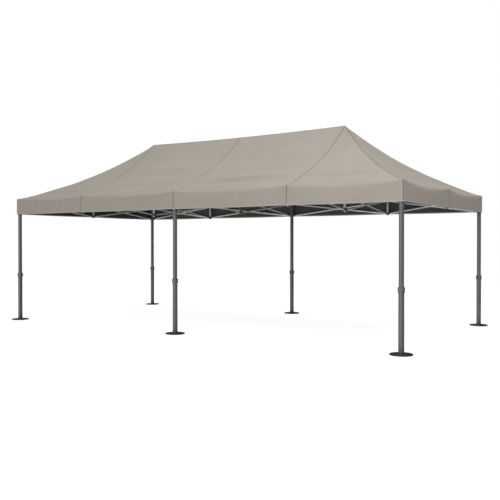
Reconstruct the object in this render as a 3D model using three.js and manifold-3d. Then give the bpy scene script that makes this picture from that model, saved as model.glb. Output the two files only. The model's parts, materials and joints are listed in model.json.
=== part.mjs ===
// A pop-up event canopy: a hipped fabric roof with two peaks on six telescopic legs, braced by scissor
// trusses under the eaves. Millimetres, +Z up. X runs along the ridge, Y from front to back, and the
// origin is on the ground in the middle of the plan.
import * as THREE from "three";
import { mergeVertices } from "three/addons/utils/BufferGeometryUtils.js";
import Module from "manifold-3d";

const wasm = await Module();
wasm.setup();

// Plan of the legs
const bayLength = 3900; // leg centre to leg centre along the front
const frameDepth = 3900; // front leg centres to back leg centres
const peakOffset = 2150; // middle of the plan to each peak, along the ridge

// Canopy
const canopyOverhang = 50; // leg centre to the outer face of the valance
const hemHeight = 2060;
const eaveHeight = 2360;
const peakHeight = 3510;
const ridgeSag = 25; // dip of the ridge half way between the peaks
const clothThickness = 2;
const roofStraightShare = 0.58; // share of the rise that is straight; the rest curves up to the ridge
const roofCurvePower = 2.4;

// Telescopic legs: the upper tube slides inside the lower one
const upperTubeRadius = 35;
const upperTubeWall = 2.5;
const lowerTubeWall = 3;
const slideClearance = 2; // between the upper tube and the lower tube's bore
const lowerTubeRadius = upperTubeRadius + slideClearance + lowerTubeWall;
const legTopHeight = 2345;
const tubeOverlap = 270; // how far the upper tube reaches down inside the lower one
const collarHeight = 875; // middle of the collar above the ground
const collarLength = 76;
const collarWall = 10;
const collarRadius = lowerTubeRadius + collarWall;
const collarLipLength = 13; // guide lip above the end of the lower tube
const collarGrooveDepth = 3;
const lipClearance = 0.6;

// Foot plates
const footRadius = 160;
const footThickness = 16;
const footSocketWall = 7;
const footSocketRadius = lowerTubeRadius + footSocketWall;
const footSocketLength = 20;
const pegHoleRadius = 8;
const pegCircleRadius = 118;

// Spring knobs that lock the legs, with the row of height holes in the upper tube
const knobPinRadius = 6;
const knobStemRadius = 8;
const knobHeadRadius = 14;
const knobHeadLength = 12;
const holeClearance = 0.5;
const heightHoleStep = 150;
const heightHoleCount = 3;

// Scissor trusses
const trussTopHeight = 2310; // upper pivots
const trussBottomHeight = 2075; // lower pivots
const barWidth = 25;
const barThickness = 12;
const barWall = 1.5;
const barGap = 4; // between the two bars of a scissor, where the rivet washer sits
const legPivotOffset = 75; // leg centre to the nearest pivot
const jointPivotOffset = 45; // mid joint to the pivots on each side of it
const hubLength = 50;

// Peak poles
const poleRadius = 22;
const hubWall = 20;
const hubRadius = poleRadius + hubWall;
const poleTopGap = 30; // pole shoulder below the peak
const poleDome = 12;
const poleTail = 40; // below the lower hub's middle

const touchGap = 0.3; // between pieces that touch
const roundSegments = 20;
const footSegments = 24;
const pinSegments = 10;

const legX = [-bayLength, 0, bayLength];
const legY = frameDepth / 2;
const canopyX = bayLength + canopyOverhang;
const canopyY = legY + canopyOverhang;
const lowerTubeBottom = footThickness + touchGap;
const lowerTubeTop = collarHeight + collarLength / 2 - collarLipLength;
const upperTubeBottom = lowerTubeTop - tubeOverlap;

const finish = (color, roughness, metalness) => new THREE.MeshStandardMaterial({ color, roughness, metalness });
const materials = {
  cloth: finish(0xb0a899, 0.9, 0),
  legPaint: finish(0x77797a, 0.45, 0.6),
  aluminium: finish(0xb9bbbb, 0.4, 0.9),
  footPaint: finish(0x4c4e4f, 0.5, 0.6),
  plastic: finish(0x26282a, 0.55, 0),
};

const canopy = new THREE.Group();

function addPiece(parent, name, geometry, material) {
  const mesh = new THREE.Mesh(geometry, material);
  mesh.name = name;
  parent.add(mesh);
  return mesh;
}

// A solid of manifold-3d from a closed three.js geometry, and the way back.
function solidFrom(geometry) {
  const bare = geometry.clone();
  bare.deleteAttribute("normal");
  bare.deleteAttribute("uv");
  const merged = mergeVertices(bare, 1e-3);
  return new wasm.Manifold(
    new wasm.Mesh({
      numProp: 3,
      vertProperties: merged.attributes.position.array,
      triVerts: new Uint32Array(merged.index.array),
    }),
  );
}

function geometryFrom(solid) {
  const mesh = solid.getMesh();
  const geometry = new THREE.BufferGeometry();
  geometry.setAttribute("position", new THREE.BufferAttribute(mesh.vertProperties, 3));
  geometry.setIndex(new THREE.BufferAttribute(mesh.triVerts, 1));
  geometry.computeVertexNormals();
  return geometry;
}

// A solid of revolution about Z, from [radius, height] points that run up its outer side.
function turned(outline, segments = roundSegments) {
  const points = outline.map(([radius, height]) => new THREE.Vector2(radius, height));
  return new THREE.LatheGeometry(points, segments).rotateX(Math.PI / 2);
}

// A tube about Z with square ends.
function tube(outerRadius, wall, bottom, top) {
  const innerRadius = outerRadius - wall;
  return turned([
    [innerRadius, bottom],
    [outerRadius, bottom],
    [outerRadius, top],
    [innerRadius, top],
    [innerRadius, bottom],
  ]);
}

// A short round bar along Y, for pins and the holes that they pass through.
function pinAlongY(radius, from, to, height) {
  const pin = new THREE.CylinderGeometry(radius, radius, to - from, pinSegments);
  return pin.translate(0, (from + to) / 2, height);
}

function upperTube() {
  let solid = solidFrom(tube(upperTubeRadius, upperTubeWall, upperTubeBottom, legTopHeight));
  for (let i = 1; i <= heightHoleCount; i++) {
    const height = collarHeight + i * heightHoleStep;
    const hole = pinAlongY(knobPinRadius, upperTubeRadius / 2, lowerTubeRadius, height);
    solid = solid.subtract(solidFrom(hole));
  }
  return geometryFrom(solid);
}

function lowerTube() {
  const solid = solidFrom(tube(lowerTubeRadius, lowerTubeWall, lowerTubeBottom, lowerTubeTop));
  const holeRadius = knobPinRadius + holeClearance;
  const hole = pinAlongY(holeRadius, lowerTubeRadius / 2, collarRadius, collarHeight);
  return geometryFrom(solid.subtract(solidFrom(hole)));
}

// The collar grips the lower tube's end, and its lip guides the upper tube. A groove runs round its middle.
function collar() {
  const half = collarLength / 2;
  const chamfer = collarLength / 12;
  const gripRadius = lowerTubeRadius + touchGap;
  const lipRadius = upperTubeRadius + lipClearance;
  const lipBottom = lowerTubeTop + touchGap - collarHeight;
  const grooveHalf = collarLength / 16;
  const grooveRadius = collarRadius - collarGrooveDepth;
  const outline = [
    [gripRadius, -half],
    [collarRadius - chamfer, -half],
    [collarRadius, -half + chamfer],
    [collarRadius, -grooveHalf],
    [grooveRadius, -grooveHalf],
    [grooveRadius, grooveHalf],
    [collarRadius, grooveHalf],
    [collarRadius, half - chamfer],
    [collarRadius - chamfer, half],
    [lipRadius, half],
    [lipRadius, lipBottom],
    [gripRadius, lipBottom],
    [gripRadius, -half],
  ];
  const solid = solidFrom(turned(outline));
  const bore = pinAlongY(knobStemRadius + holeClearance, lowerTubeRadius / 2, collarRadius * 2, 0);
  return geometryFrom(solid.subtract(solidFrom(bore))).translate(0, 0, collarHeight);
}

// The knob's pin passes through the lower tube's wall and stops short of the upper tube.
function lockKnob() {
  const pinTip = upperTubeRadius + (lowerTubeRadius - lowerTubeWall - upperTubeRadius) / 2;
  const stemStart = lowerTubeRadius + 2 * touchGap;
  const headStart = collarRadius + touchGap;
  const headEnd = headStart + knobHeadLength;
  const chamfer = knobHeadLength / 4;
  const outline = [
    [0, pinTip],
    [knobPinRadius, pinTip],
    [knobPinRadius, stemStart],
    [knobStemRadius, stemStart],
    [knobStemRadius, headStart],
    [knobHeadRadius - chamfer, headStart],
    [knobHeadRadius, headStart + chamfer],
    [knobHeadRadius, headEnd - chamfer],
    [knobHeadRadius - chamfer, headEnd],
    [0, headEnd],
  ];
  return turned(outline, pinSegments).rotateX(-Math.PI / 2).translate(0, 0, collarHeight);
}

function footPlate() {
  const edge = footThickness / 2;
  const socketBore = (lowerTubeRadius + touchGap) / Math.cos(Math.PI / footSegments); // its flats clear the tube
  const socketTop = footThickness + footSocketLength;
  const outline = [
    [0, 0],
    [footRadius - edge / 2, 0],
    [footRadius, edge / 2],
    [footRadius, footThickness - edge],
    [footRadius - edge, footThickness],
    [footSocketRadius, footThickness],
    [footSocketRadius, socketTop],
    [socketBore, socketTop],
    [socketBore, footThickness],
    [0, footThickness],
  ];
  let solid = solidFrom(turned(outline, footSegments));
  for (const turn of [0, 1, 2]) {
    const hole = new THREE.CylinderGeometry(pegHoleRadius, pegHoleRadius, 4 * footThickness, pinSegments);
    hole.rotateX(Math.PI / 2).translate(pegCircleRadius, 0, 0);
    hole.rotateZ(((2 * turn + 1) * Math.PI) / 3);
    solid = solid.subtract(solidFrom(hole));
  }
  return geometryFrom(solid);
}

// One leg with all that belongs to it. The knob faces the inside of the tent.
function addLeg(name, x, side) {
  const leg = new THREE.Group();
  leg.position.set(x, side * legY, 0);
  leg.rotation.z = side < 0 ? 0 : Math.PI;
  canopy.add(leg);
  addPiece(leg, `${name}_upper_leg`, upperTube(), materials.legPaint);
  addPiece(leg, `${name}_lower_leg`, lowerTube(), materials.legPaint);
  addPiece(leg, `${name}_leg_collar`, collar(), materials.legPaint);
  addPiece(leg, `${name}_lock_knob`, lockKnob(), materials.plastic);
  addPiece(leg, `${name}_foot_plate`, footPlate(), materials.footPaint);
}

// A hollow flat bar along X, standing on edge, which reaches half its width past the pivot at each end.
function hollowBar(length) {
  const halfWidth = barWidth / 2;
  const halfThickness = barThickness / 2;
  const rectangle = (inset) => {
    const [x, y] = [halfThickness - inset, halfWidth - inset];
    return [[-x, -y], [x, -y], [x, y], [-x, y]].map(([u, v]) => new THREE.Vector2(u, v));
  };
  const outline = new THREE.Shape(rectangle(0));
  outline.holes.push(new THREE.Path(rectangle(barWall)));
  const reach = length + barWidth;
  const bar = new THREE.ExtrudeGeometry(outline, { depth: reach, bevelEnabled: false });
  return bar.translate(0, 0, -reach / 2).rotateY(Math.PI / 2).rotateX(Math.PI / 2);
}

// A solid flat bar with round ends along X, standing on edge, with its pivots this length apart.
function flatBar(length) {
  const radius = barWidth / 2;
  const outline = new THREE.Shape();
  outline.absarc(length / 2, 0, radius, -Math.PI / 2, Math.PI / 2);
  outline.absarc(-length / 2, 0, radius, Math.PI / 2, (3 * Math.PI) / 2);
  const bar = new THREE.ExtrudeGeometry(outline, { depth: barThickness, bevelEnabled: false, curveSegments: 5 });
  return bar.translate(0, 0, -barThickness / 2).rotateX(Math.PI / 2);
}

const trussMiddle = (trussTopHeight + trussBottomHeight) / 2;
const trussDepth = trussTopHeight - trussBottomHeight;

// The length and slope of a scissor's bars, for the distance between its pivots.
function scissorBar(width) {
  return { length: Math.hypot(width, trussDepth), slope: Math.atan2(trussDepth, width) };
}

// Each scissor is a rising and a falling bar side by side, in a group whose X runs along the truss.
function addScissor(truss, name, from, to) {
  const { length, slope } = scissorBar(to - from);
  for (const [way, sign] of [["rising", 1], ["falling", -1]]) {
    const bar = addPiece(truss, `${name}_${way}_bar`, hollowBar(length), materials.aluminium);
    bar.position.set((from + to) / 2, (-sign * (barThickness + barGap)) / 2, trussMiddle);
    bar.rotation.y = -sign * slope;
  }
}

// A truss along one side. Its pivots stand off from each leg and from each joint between two legs.
function addSideTruss(name, place, turn, stations) {
  const truss = new THREE.Group();
  truss.position.set(...place);
  truss.rotation.z = turn;
  canopy.add(truss);
  for (let i = 0; i + 1 < stations.length; i++) {
    const [start, startOffset] = stations[i];
    const [end, endOffset] = stations[i + 1];
    addScissor(truss, `${name}_scissor_${i + 1}`, start + startOffset, end - endOffset);
  }
}

// A truss across the tent, of two scissors that meet at a hub in the middle: a socket for a peak pole, or a post.
function crossTruss(socket) {
  const outerPivot = legY - legPivotOffset;
  const innerPivot = jointPivotOffset;
  const { length, slope } = scissorBar(outerPivot - innerPivot);
  const hubs = [trussTopHeight, trussBottomHeight].map((height) => {
    const hub = new THREE.CylinderGeometry(hubRadius, hubRadius, hubLength, roundSegments);
    return solidFrom(hub.rotateX(Math.PI / 2).translate(0, 0, height));
  });
  let solid = hubs[0].add(hubs[1]);
  for (const half of [-1, 1]) {
    for (const sign of [-1, 1]) {
      const bar = flatBar(length).rotateY(sign * slope);
      bar.translate((half * (outerPivot + innerPivot)) / 2, 0, trussMiddle);
      solid = solid.add(solidFrom(bar));
    }
  }
  const coreRadius = socket ? poleRadius + touchGap * 2 : poleRadius;
  const coreReach = socket ? hubLength : 0;
  const core = new THREE.CylinderGeometry(coreRadius, coreRadius, trussDepth + 2 * coreReach, roundSegments);
  const coreSolid = solidFrom(core.rotateX(Math.PI / 2).translate(0, 0, trussMiddle));
  return geometryFrom(socket ? solid.subtract(coreSolid) : solid.add(coreSolid));
}

function addCrossTruss(name, x, socket) {
  const truss = addPiece(canopy, name, crossTruss(socket), materials.aluminium);
  truss.position.x = x;
  truss.rotation.z = Math.PI / 2;
}

function peakPole() {
  const bottom = trussBottomHeight - poleTail;
  const shoulder = peakHeight - poleTopGap;
  return turned([
    [0, bottom],
    [poleRadius, bottom],
    [poleRadius, shoulder],
    [poleRadius * 0.7, shoulder + poleDome * 0.7],
    [0, shoulder + poleDome],
  ]);
}

// Height of the roof, as a share of the rise, at a share of the way from the eave to the ridge.
const roofRise = (share) => roofStraightShare * share + (1 - roofStraightShare) * share ** roofCurvePower;

// One skin of the canopy as closed rings, from the hem up the valance and the roof to the ridge.
// Going round the eave, each point is joined to the nearest point of the ridge.
function skinRings(inset) {
  const halfX = canopyX - inset;
  const halfY = canopyY - inset;
  const drop = inset * 1.25;
  const frontX = [];
  const stops = [-halfX, -peakOffset, 0, peakOffset, halfX];
  const steps = 3;
  for (let i = 0; i + 1 < stops.length; i++) {
    for (let k = 0; k < steps; k++) frontX.push(stops[i] + ((stops[i + 1] - stops[i]) * k) / steps);
  }
  const sideY = [];
  for (let k = 0; k < 2 * steps; k++) sideY.push(-halfY + (halfY * k) / steps);
  const eave = [
    ...frontX.map((x) => [x, -halfY]),
    ...sideY.map((y) => [halfX, y]),
    ...frontX.map((x) => [-x, halfY]),
    ...sideY.map((y) => [-halfX, -y]),
  ];
  const ring = (share) =>
    eave.map(([x, y]) => {
      const ridgeX = THREE.MathUtils.clamp(x, -peakOffset, peakOffset);
      const ridgeZ = peakHeight - ridgeSag * (1 - (ridgeX / peakOffset) ** 2);
      const height = eaveHeight + (ridgeZ - eaveHeight) * roofRise(share) - drop;
      return [x + (ridgeX - x) * share, y * (1 - share), height];
    });
  const hem = eave.map(([x, y]) => [x, y, hemHeight]);
  return [hem, ...[0, 0.13, 0.28, 0.43, 0.58, 0.72, 0.86, 1].map(ring)];
}

function canopyCloth() {
  const skins = [skinRings(0), skinRings(clothThickness)];
  const ringSize = skins[0][0].length;
  const ringCount = skins[0].length;
  const positions = skins.flat(3);
  const index = [];
  const at = (skin, ring, i) => (skin * ringCount + ring) * ringSize + (i % ringSize);
  for (let i = 0; i < ringSize; i++) {
    for (let ring = 0; ring + 1 < ringCount; ring++) {
      for (const skin of [0, 1]) {
        const corners = [at(skin, ring, i), at(skin, ring, i + 1), at(skin, ring + 1, i + 1), at(skin, ring + 1, i)];
        if (skin === 1) corners.reverse();
        const [a, b, c, d] = corners;
        index.push(a, b, c, a, c, d);
      }
    }
    index.push(at(0, 0, i), at(1, 0, i), at(1, 0, i + 1), at(0, 0, i), at(1, 0, i + 1), at(0, 0, i + 1));
  }
  const rough = new THREE.BufferGeometry();
  rough.setAttribute("position", new THREE.Float32BufferAttribute(positions, 3));
  rough.setIndex(index);
  const merged = mergeVertices(rough, 1e-3);
  // The fans at the peaks fold some triangles to nothing, and they are left out.
  const kept = [];
  const all = merged.index.array;
  for (let i = 0; i < all.length; i += 3) {
    const [a, b, c] = [all[i], all[i + 1], all[i + 2]];
    if (a !== b && b !== c && c !== a) kept.push(a, b, c);
  }
  merged.setIndex(kept);
  merged.computeVertexNormals();
  return merged;
}

legX.forEach((x, i) => {
  const column = ["left", "middle", "right"][i];
  addLeg(`front_${column}`, x, -1);
  addLeg(`back_${column}`, x, 1);
});

const longStations = [
  [-bayLength, legPivotOffset],
  [-peakOffset, jointPivotOffset],
  [0, legPivotOffset],
  [peakOffset, jointPivotOffset],
  [bayLength, legPivotOffset],
];
const shortStations = [
  [-legY, legPivotOffset],
  [0, jointPivotOffset],
  [legY, legPivotOffset],
];
addSideTruss("front", [0, -legY, 0], 0, longStations);
addSideTruss("back", [0, legY, 0], Math.PI, longStations);
addSideTruss("left", [-bayLength, 0, 0], -Math.PI / 2, shortStations);
addSideTruss("right", [bayLength, 0, 0], Math.PI / 2, shortStations);
addCrossTruss("left_cross_truss", -peakOffset, true);
addCrossTruss("middle_cross_truss", 0, false);
addCrossTruss("right_cross_truss", peakOffset, true);
for (const [name, sign] of [["left_peak_pole", -1], ["right_peak_pole", 1]]) {
  addPiece(canopy, name, peakPole(), materials.aluminium).position.x = sign * peakOffset;
}
addPiece(canopy, "canopy_cloth", canopyCloth(), materials.cloth);

export default canopy;
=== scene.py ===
"""A long pop-up canopy tent: its cloth, legs and trusses, built round the packed frame, on a pale stage."""
import json
import math

import bmesh
import bpy
import numpy as np
from bpy.props import FloatProperty, FloatVectorProperty, IntProperty, PointerProperty
from bpy.types import Operator, Panel, PropertyGroup
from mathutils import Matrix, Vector

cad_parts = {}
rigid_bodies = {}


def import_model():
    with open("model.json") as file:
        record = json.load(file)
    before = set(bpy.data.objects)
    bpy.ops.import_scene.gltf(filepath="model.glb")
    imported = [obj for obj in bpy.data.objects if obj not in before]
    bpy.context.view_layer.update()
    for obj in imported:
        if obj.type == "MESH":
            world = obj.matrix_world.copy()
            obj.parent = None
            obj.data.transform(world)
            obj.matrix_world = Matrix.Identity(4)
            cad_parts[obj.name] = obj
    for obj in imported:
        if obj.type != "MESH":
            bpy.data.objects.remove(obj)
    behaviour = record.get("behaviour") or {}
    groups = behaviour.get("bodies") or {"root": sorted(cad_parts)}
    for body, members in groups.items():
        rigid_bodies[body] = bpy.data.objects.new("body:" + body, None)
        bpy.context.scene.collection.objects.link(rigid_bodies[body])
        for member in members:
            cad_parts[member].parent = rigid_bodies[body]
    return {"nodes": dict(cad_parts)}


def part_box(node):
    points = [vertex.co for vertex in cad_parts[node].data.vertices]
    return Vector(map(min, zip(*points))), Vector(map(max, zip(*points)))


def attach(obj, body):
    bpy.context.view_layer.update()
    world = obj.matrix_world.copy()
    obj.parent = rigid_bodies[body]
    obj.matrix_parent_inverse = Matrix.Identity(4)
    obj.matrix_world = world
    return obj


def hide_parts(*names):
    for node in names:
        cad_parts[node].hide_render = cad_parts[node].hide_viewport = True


for startup_object in list(bpy.data.objects):
    bpy.data.objects.remove(startup_object, do_unlink=True)

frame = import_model()

bl_info = {
    "name": "Pop-up canopy tent",
    "version": (1, 0, 0),
    "blender": (4, 5, 0),
    "location": "3D View > Sidebar > Canopy tent",
    "description": "Builds a long pop-up canopy tent: hipped cloth, telescopic legs, scissor trusses and stage",
    "category": "Add Mesh",
}

# ---------------------------------------------------------------------------------------------------
# Places taken from the frame
# ---------------------------------------------------------------------------------------------------


def node_points(node):
    """Every vertex of a frame node, as rows of x, y and z in metres."""
    vertices = frame["nodes"][node].data.vertices
    points = np.empty(len(vertices) * 3)
    vertices.foreach_get("co", points)
    return points.reshape(-1, 3)


def node_corners(node):
    """Lowest and highest corner of a frame node, as arrays."""
    low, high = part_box(node)
    return np.array(low), np.array(high)


def bar_frame(node):
    """A flat bar's middle, its three directions (along, across, through) and its three lengths.

    The directions are the principal directions of the bar's corners, and each length is the corners' spread
    along its direction.
    """
    corners = np.unique(np.round(node_points(node), 6), axis=0)
    middle = (corners.min(axis=0) + corners.max(axis=0)) / 2
    directions = np.linalg.svd(corners - corners.mean(axis=0), full_matrices=False)[2]
    directions[0] *= 1 if directions[0][2] >= 0 else -1
    spread = np.ptp(corners @ directions.T, axis=0)
    return middle, directions, spread


LEG_ROWS = ("front", "back")
LEG_COLUMNS = ("left", "middle", "right")
LEG_NAMES = [f"{row}_{column}" for column in LEG_COLUMNS for row in LEG_ROWS]
FACE_GAP = 0.0003  # clearance left between faces that meet
PEG_RING = 0.118  # radius of the circle of peg holes in a foot plate
PEG_RADIUS = 0.008
PEG_CHAMFER = 0.0018
FORK_END = 0.013  # how far a fork reaches past its pivot
SCISSOR_GAP = 0.002  # half the space between the two bars of a truss across the tent
TRUSS_SIDES = {"front": 4, "back": 4, "left": 2, "right": 2}

CLOTH_LOW, CLOTH_HIGH = node_corners("canopy_cloth")
CLOTH_POINTS = node_points("canopy_cloth")
HALF_LENGTH, HALF_DEPTH, PEAK_HEIGHT = CLOTH_HIGH
HEM_HEIGHT = CLOTH_LOW[2]
EAVE_HEIGHT = CLOTH_POINTS[CLOTH_POINTS[:, 0] > HALF_LENGTH - 1e-4][:, 2].max()
PEAK_PLACE = CLOTH_POINTS[CLOTH_POINTS[:, 2] > PEAK_HEIGHT - 1e-4][:, 0].max()
RIDGE_HEIGHT = CLOTH_POINTS[np.abs(CLOTH_POINTS[:, 0]) < 1e-3][:, 2].max()
VALANCE_DROP = EAVE_HEIGHT - HEM_HEIGHT


def leg_place(leg):
    """Plan position of a leg's centre line."""
    low, high = node_corners(f"{leg}_upper_leg")
    return (low[:2] + high[:2]) / 2


def truss_bars(side):
    """Names of the frame's bars in the truss along one side, in order along the truss."""
    ways = ("rising", "falling")
    return [f"{side}_scissor_{i + 1}_{way}_bar" for i in range(TRUSS_SIDES[side]) for way in ways]


# ---------------------------------------------------------------------------------------------------
# Sizes and colours that a user would change
# ---------------------------------------------------------------------------------------------------


def length(name, description, default, **more):
    """A length in metres."""
    return FloatProperty(
        name=name, description=description, default=default, unit="LENGTH", precision=4, **more
    )


def number(name, description, default, **more):
    """A plain number."""
    return FloatProperty(name=name, description=description, default=default, precision=3, **more)


def colour(name, description, default):
    """A linear colour."""
    return FloatVectorProperty(
        name=name, description=description, default=default, subtype="COLOR", min=0, max=1
    )


class TentClothSizes(PropertyGroup):
    """The canopy's cloth, seams and hem."""

    eave_round: length("Eave rounding", "How far the bend over the eave spreads each way at a support", 0.010)
    eave_slack: length(
        "Eave slack", "How much further that bend spreads half way between two supports", 0.028
    )
    corner_round: length("Corner rounding", "Radius of the canopy's upright corners in plan", 0.035)
    straight_share: number("Straight share", "Share of the roof's rise that is straight", 0.58, min=0, max=1)
    curve_power: number("Curve power", "Power of the part of the rise that curves up to the ridge", 2.4)
    eave_sag: length("Eave sag", "Dip of the eave half way between two supports", 0.026)
    hem_sag: length("Hem sag", "Dip of the hem half way between two supports", 0.005)
    eave_bow: length("Eave bow", "How far the eave is drawn in half way between two supports", 0.010)
    brow_dip: length("Brow dip", "Dip of the roof just above the eave, where the cloth lies flatter", 0.018)
    brow_reach: length("Brow reach", "Distance from the eave to the deepest place of that dip", 0.13)
    fold_height: length("Fold height", "Height of the soft folds left by packing", 0.040)
    slack_height: length("Slack", "Height of the broad slack waves on the roof", 0.014)
    valance_wave: length("Valance wave", "Depth of the hanging edge's waves", 0.008)
    thickness: length("Cloth thickness", "Thickness of the coated cloth", 0.0014)
    seam_width: length("Seam width", "Width of the lapped seams", 0.017)
    hem_width: length("Hem width", "Width of the hem tape", 0.020)
    columns: IntProperty(
        name="Columns per metre", description="Mesh columns per metre of eave", default=18, min=4
    )
    outside: colour("Outside", "Colour of the cloth's outer face", (0.402, 0.362, 0.311))
    inside: colour("Inside", "Colour of the cloth's coated inner face", (0.064, 0.065, 0.064))
    seam: colour("Seam", "Colour of the seams", (0.215, 0.195, 0.168))
    hem: colour("Hem", "Colour of the hem tape", (0.47, 0.43, 0.375))


class TentLegSizes(PropertyGroup):
    """The telescopic legs, their collars, knobs and feet."""

    edge: length("Edge rounding", "Rounding of the tubes' and plates' edges", 0.0012)
    rim: length("Plate rim", "Rounding of the foot plate's rim", 0.0070)
    weld: length("Weld", "Reach of the weld between the foot plate and its socket", 0.005)
    sides: IntProperty(name="Sides", description="Faces round each tube", default=56, min=16)
    hole_radius: length("Height hole", "Radius of the holes that the spring pin enters", 0.006)
    hole_step: length("Hole spacing", "Distance between the height holes", 0.150)
    paint: colour("Paint", "Colour of the tubes' powder coat", (0.54, 0.55, 0.545))
    foot_paint: colour("Foot paint", "Colour of the foot plates' powder coat", (0.27, 0.273, 0.27))
    plastic: colour("Plastic", "Colour of the knobs and end plugs", (0.02, 0.021, 0.022))


class TentTrussSizes(PropertyGroup):
    """The scissor trusses with their rivets, brackets and posts, and the peak poles."""

    corner: length("Bar corner", "Rounding of the bars' long edges", 0.0032)
    rivet_radius: length("Rivet radius", "Radius of the rivets' heads", 0.0085)
    rivet_height: length("Rivet height", "Height of the rivets' heads", 0.004)
    plug_length: length("Plug length", "Length of the plastic plugs at the bars' ends", 0.014)
    bracket_width: length("Bracket width", "Width of the square brackets on the legs' heads", 0.080)
    bracket_height: length("Bracket height", "Height of the brackets and sliders", 0.050)
    ear_thickness: length("Ear thickness", "Thickness of the brackets' ears", 0.0035)
    post_radius: length("Post radius", "Radius of the posts between two scissors", 0.0215)
    aluminium: colour("Aluminium", "Colour of the trusses", (0.80, 0.81, 0.81))


class TentStageSizes(PropertyGroup):
    """The floor, the lights and the camera."""

    floor_half: length("Floor", "Half the width of the floor", 60.0)
    fade_start: length("Fade start", "Distance from the middle at which the floor starts to fade out", 9.0)
    fade_end: length("Fade end", "Distance from the middle at which the floor is plain white", 20.0)
    lens: FloatProperty(
        name="Lens", description="Focal length for a 36 mm sensor", default=49.47, subtype="DISTANCE_CAMERA"
    )
    camera_x: length("Camera X", "Camera position along the ridge", 7.224)
    camera_y: length("Camera Y", "Camera position from front to back", -10.78)
    camera_z: length("Camera Z", "Camera height", 1.518)
    yaw: FloatProperty(
        name="Turn", description="Camera's turn to the left of the front's normal",
        default=math.radians(33.06), subtype="ANGLE"
    )
    pitch: FloatProperty(
        name="Tilt", description="Camera's tilt above the horizon", default=math.radians(-0.67),
        subtype="ANGLE"
    )
    key_power: FloatProperty(
        name="Key light", description="Power of the large soft light behind the camera", default=200.0,
        unit="POWER"
    )
    front_power: FloatProperty(
        name="Front light", description="Power of the high soft light in front of the tent", default=400.0,
        unit="POWER"
    )
    top_power: FloatProperty(
        name="Top light", description="Power of the soft light over the ridge", default=660.0, unit="POWER"
    )
    fill_power: FloatProperty(
        name="Fill light", description="Power of the soft light on the right", default=150.0, unit="POWER"
    )
    card_power: FloatProperty(
        name="Card", description="Power of the bright card that the glossy tubes reflect", default=1600.0,
        unit="POWER"
    )
    sky: number("Sky", "Brightness of the sky as the tent sees it", 0.62)
    bounce: number("Bounce", "Brightness of the floor's light from below", 0.75)


class TentSizes(PropertyGroup):
    """All the tent's sizes."""

    cloth: PointerProperty(type=TentClothSizes)
    legs: PointerProperty(type=TentLegSizes)
    trusses: PointerProperty(type=TentTrussSizes)
    stage: PointerProperty(type=TentStageSizes)


# ---------------------------------------------------------------------------------------------------
# Surfaces
# ---------------------------------------------------------------------------------------------------


def grid(points, uv=None):
    """A surface from a (rows, columns, 3) array of points: each cell of the array becomes one quad."""
    rows, columns = points.shape[:2]
    index = np.arange(rows * columns).reshape(rows, columns)
    quads = np.stack([index[:-1, :-1], index[:-1, 1:], index[1:, 1:], index[1:, :-1]], axis=-1).reshape(-1, 4)
    return points.reshape(-1, 3), quads, None if uv is None else uv.reshape(-1, 2)


def eased(points, reach, steps=4, closed=False):
    """A line of 2-D points with its corners rounded.

    Each corner P between A and B becomes the quadratic curve (1-t)^2 a + 2 t (1-t) P + t^2 b, where a and b lie
    on the line at the given reach either side of P, or half way to the next corner if that is nearer.
    """
    points = np.asarray(points, dtype=float)
    before, after = np.roll(points, 1, axis=0), np.roll(points, -1, axis=0)

    def towards(other):
        gap = np.linalg.norm(other - points, axis=1, keepdims=True)
        return points + (other - points) * np.minimum(reach / np.maximum(gap, 1e-9), 0.5)

    t = np.linspace(0, 1, steps)[None, :, None]
    a, b = towards(before)[:, None], towards(after)[:, None]
    curve = (1 - t) ** 2 * a + 2 * t * (1 - t) * points[:, None] + t**2 * b
    if closed:
        line = curve.reshape(-1, 2)
        return np.vstack([line, line[:1]])
    return np.vstack([points[:1], curve[1:-1].reshape(-1, 2), points[-1:]])


def turned(profile, origin=(0, 0, 0), axis=(0, 0, 1), sides=48):
    """A surface of revolution: each [radius, height] of the profile becomes a ring round the axis.

    A point is origin + height * axis + radius * (cos(a) * p + sin(a) * q), with p and q square to the axis.
    """
    axis = np.asarray(axis, dtype=float) / np.linalg.norm(axis)
    p = np.cross((0, 1, 0) if abs(axis[1]) < 0.9 else (1, 0, 0), axis)
    p /= np.linalg.norm(p)
    q = np.cross(axis, p)
    angle = np.linspace(0, 2 * np.pi, sides + 1)
    ring = np.cos(angle)[:, None] * p + np.sin(angle)[:, None] * q
    ring[-1] = ring[0]
    radius, height = np.asarray(profile, dtype=float).T
    points = np.asarray(origin) + height[:, None, None] * axis + radius[:, None, None] * ring
    return grid(points)


def section(width, depth, corner, steps=4):
    """A closed rounded rectangle of 2-D points, centred on zero."""
    w, d = width / 2, depth / 2
    return eased([(-w, -d), (w, -d), (w, d), (-w, d)], corner * 1.7, steps, closed=True)


def swept(outline, start, end, across, ends=0.001):
    """An outline carried along a straight line, with eased edges and closed ends.

    Ring k is start + share_k * (end - start) + scale_k * (outline in the plane of across and its normal); the
    scale drops by the easing at both ends, and then to nothing, which closes them.
    """
    start, end, across = (np.asarray(v, dtype=float) for v in (start, end, across))
    span = end - start
    reach = np.linalg.norm(span)
    through = np.cross(span / reach, across)
    half = np.abs(outline).max(axis=0)
    soft = np.array([0, 0, 0.3, 1, reach / ends - 1, reach / ends - 0.3, reach / ends, reach / ends]) * ends
    inset = np.array([half.max() * 2, 1, 0.3, 0, 0, 0.3, 1, half.max() * 2]) * ends
    inset[[0, -1]] = half.max()
    scale = np.clip(1 - inset[:, None] / half[None, :], 0, 1)
    scale[[0, -1]] = 0
    ring = scale[:, None, :] * outline[None, :, :]
    points = start + (soft / reach)[:, None, None] * span + ring[..., :1] * across + ring[..., 1:] * through
    return grid(points)


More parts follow.
